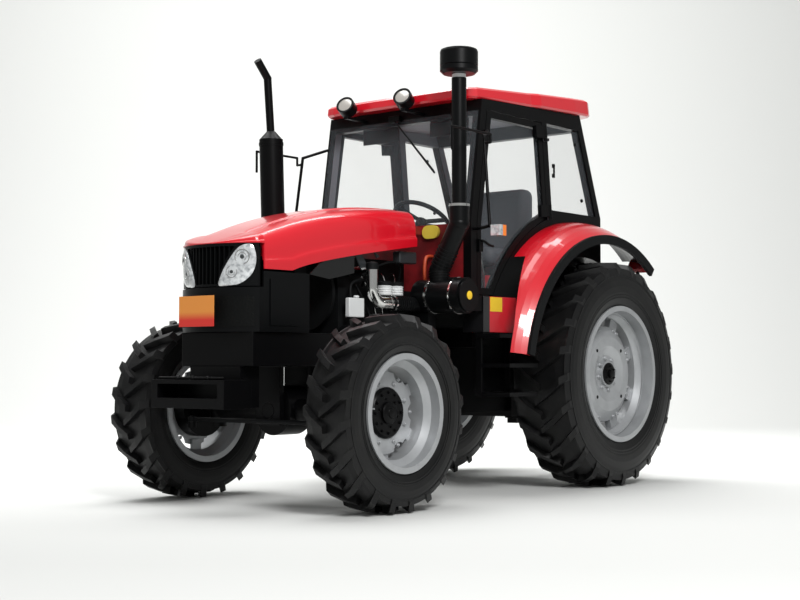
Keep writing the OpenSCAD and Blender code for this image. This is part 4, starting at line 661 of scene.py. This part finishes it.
# bar over the tow bracket, rear couplings
bar = [tube([(2.010, -0.26, 0.744), (2.010, 0.26, 0.744)], 0.009, 12, 1)]
bar += [turned([(0.009, 0), (0.014, 0.004), (0.014, 0.022), (0.009, 0.026)], (2.010, y, 0.744), (0, 1, 0), 16)
        for y in (-0.12, 0.0, 0.12)]
piece("tow_bar", bar, "black_paint", "chassis")
coupling = [(0.02, 0), (0.02, 0.03), (0.015, 0.032), (0.015, 0.05), (0.008, 0.052)]
couplings = [turned(coupling, (-1.355, y, 1.055), (-1, 0, 0), 20) for y in (-0.12, -0.06, 0.06, 0.12)]
piece("rear_couplings", couplings, "grey_metal", "chassis")


# Studio

VIEW_YAW, VIEW_PITCH = math.radians(39.018), math.radians(2.551)
SENSOR, FOCAL_PIXELS, PICTURE_PIXELS = 36, 1428.7, 800


def sweep():
    """Pale floor that curves up behind the tractor, square to the view."""
    away = Vector((-math.cos(VIEW_YAW), -math.sin(VIEW_YAW), 0))
    across = Vector((math.sin(VIEW_YAW), -math.cos(VIEW_YAW), 0))
    profile = [(-16, 0), (9, 0)] + [(9 + 6 * math.sin(a), 6 - 6 * math.cos(a))
                                    for a in [math.pi / 2 * i / 16 for i in range(1, 17)]] + [(15, 16)]
    points = [away * d + across * s + Vector((0, 0, h)) for d, h in profile for s in (-30, 30)]
    return points, [(2 * i, 2 * i + 1, 2 * i + 3, 2 * i + 2) for i in range(len(profile) - 1)]


points, faces = sweep()
mesh = bpy.data.meshes.new("floor")
mesh.from_pydata([tuple(p) for p in points], [], faces)
mesh.shade_smooth()
floor = bpy.data.objects.new("floor", mesh)
# matt paper
floor.data.materials.append(material("pale_studio_paper", "#d4d5d3", 0.9, Specular_IOR_Level=0.1))
scene.collection.objects.link(floor)

world = bpy.data.worlds.new("studio")
scene.world = world
world.use_nodes = True
world.node_tree.nodes["Background"].inputs["Color"].default_value = rgb("#f4f5f4")
world.node_tree.nodes["Background"].inputs["Strength"].default_value = 0.38

for name, place, aim, size, energy in (("key", (5.5, 7.5, 7.0), (0, 0, 1), 3, 900),
                                       ("top", (1.0, -1.0, 9.0), (0, 0, 1), 5, 380),
                                       ("wall", (-1.6, -3.2, 8.5), (-8.1, -8.1, 2), 8, 1700)):
    light = bpy.data.lights.new(name, "AREA")
    light.size = size
    light.energy = energy
    lamp = bpy.data.objects.new(name, light)
    lamp.location = place
    lamp.rotation_euler = (Vector(aim) - lamp.location).to_track_quat("-Z", "Y").to_euler()
    scene.collection.objects.link(lamp)

camera = bpy.data.cameras.new("camera")
camera.sensor_width = SENSOR
camera.lens = SENSOR * FOCAL_PIXELS / PICTURE_PIXELS
camera_obj = bpy.data.objects.new("camera", camera)
camera_obj.location = (7.399, 5.842, 0.824)
look = Vector((-math.cos(VIEW_YAW) * math.cos(VIEW_PITCH), -math.sin(VIEW_YAW) * math.cos(VIEW_PITCH),
               math.sin(VIEW_PITCH)))
camera_obj.rotation_euler = look.to_track_quat("-Z", "Y").to_euler()
scene.collection.objects.link(camera_obj)
scene.camera = camera_obj
scene.view_settings.view_transform = "Standard"
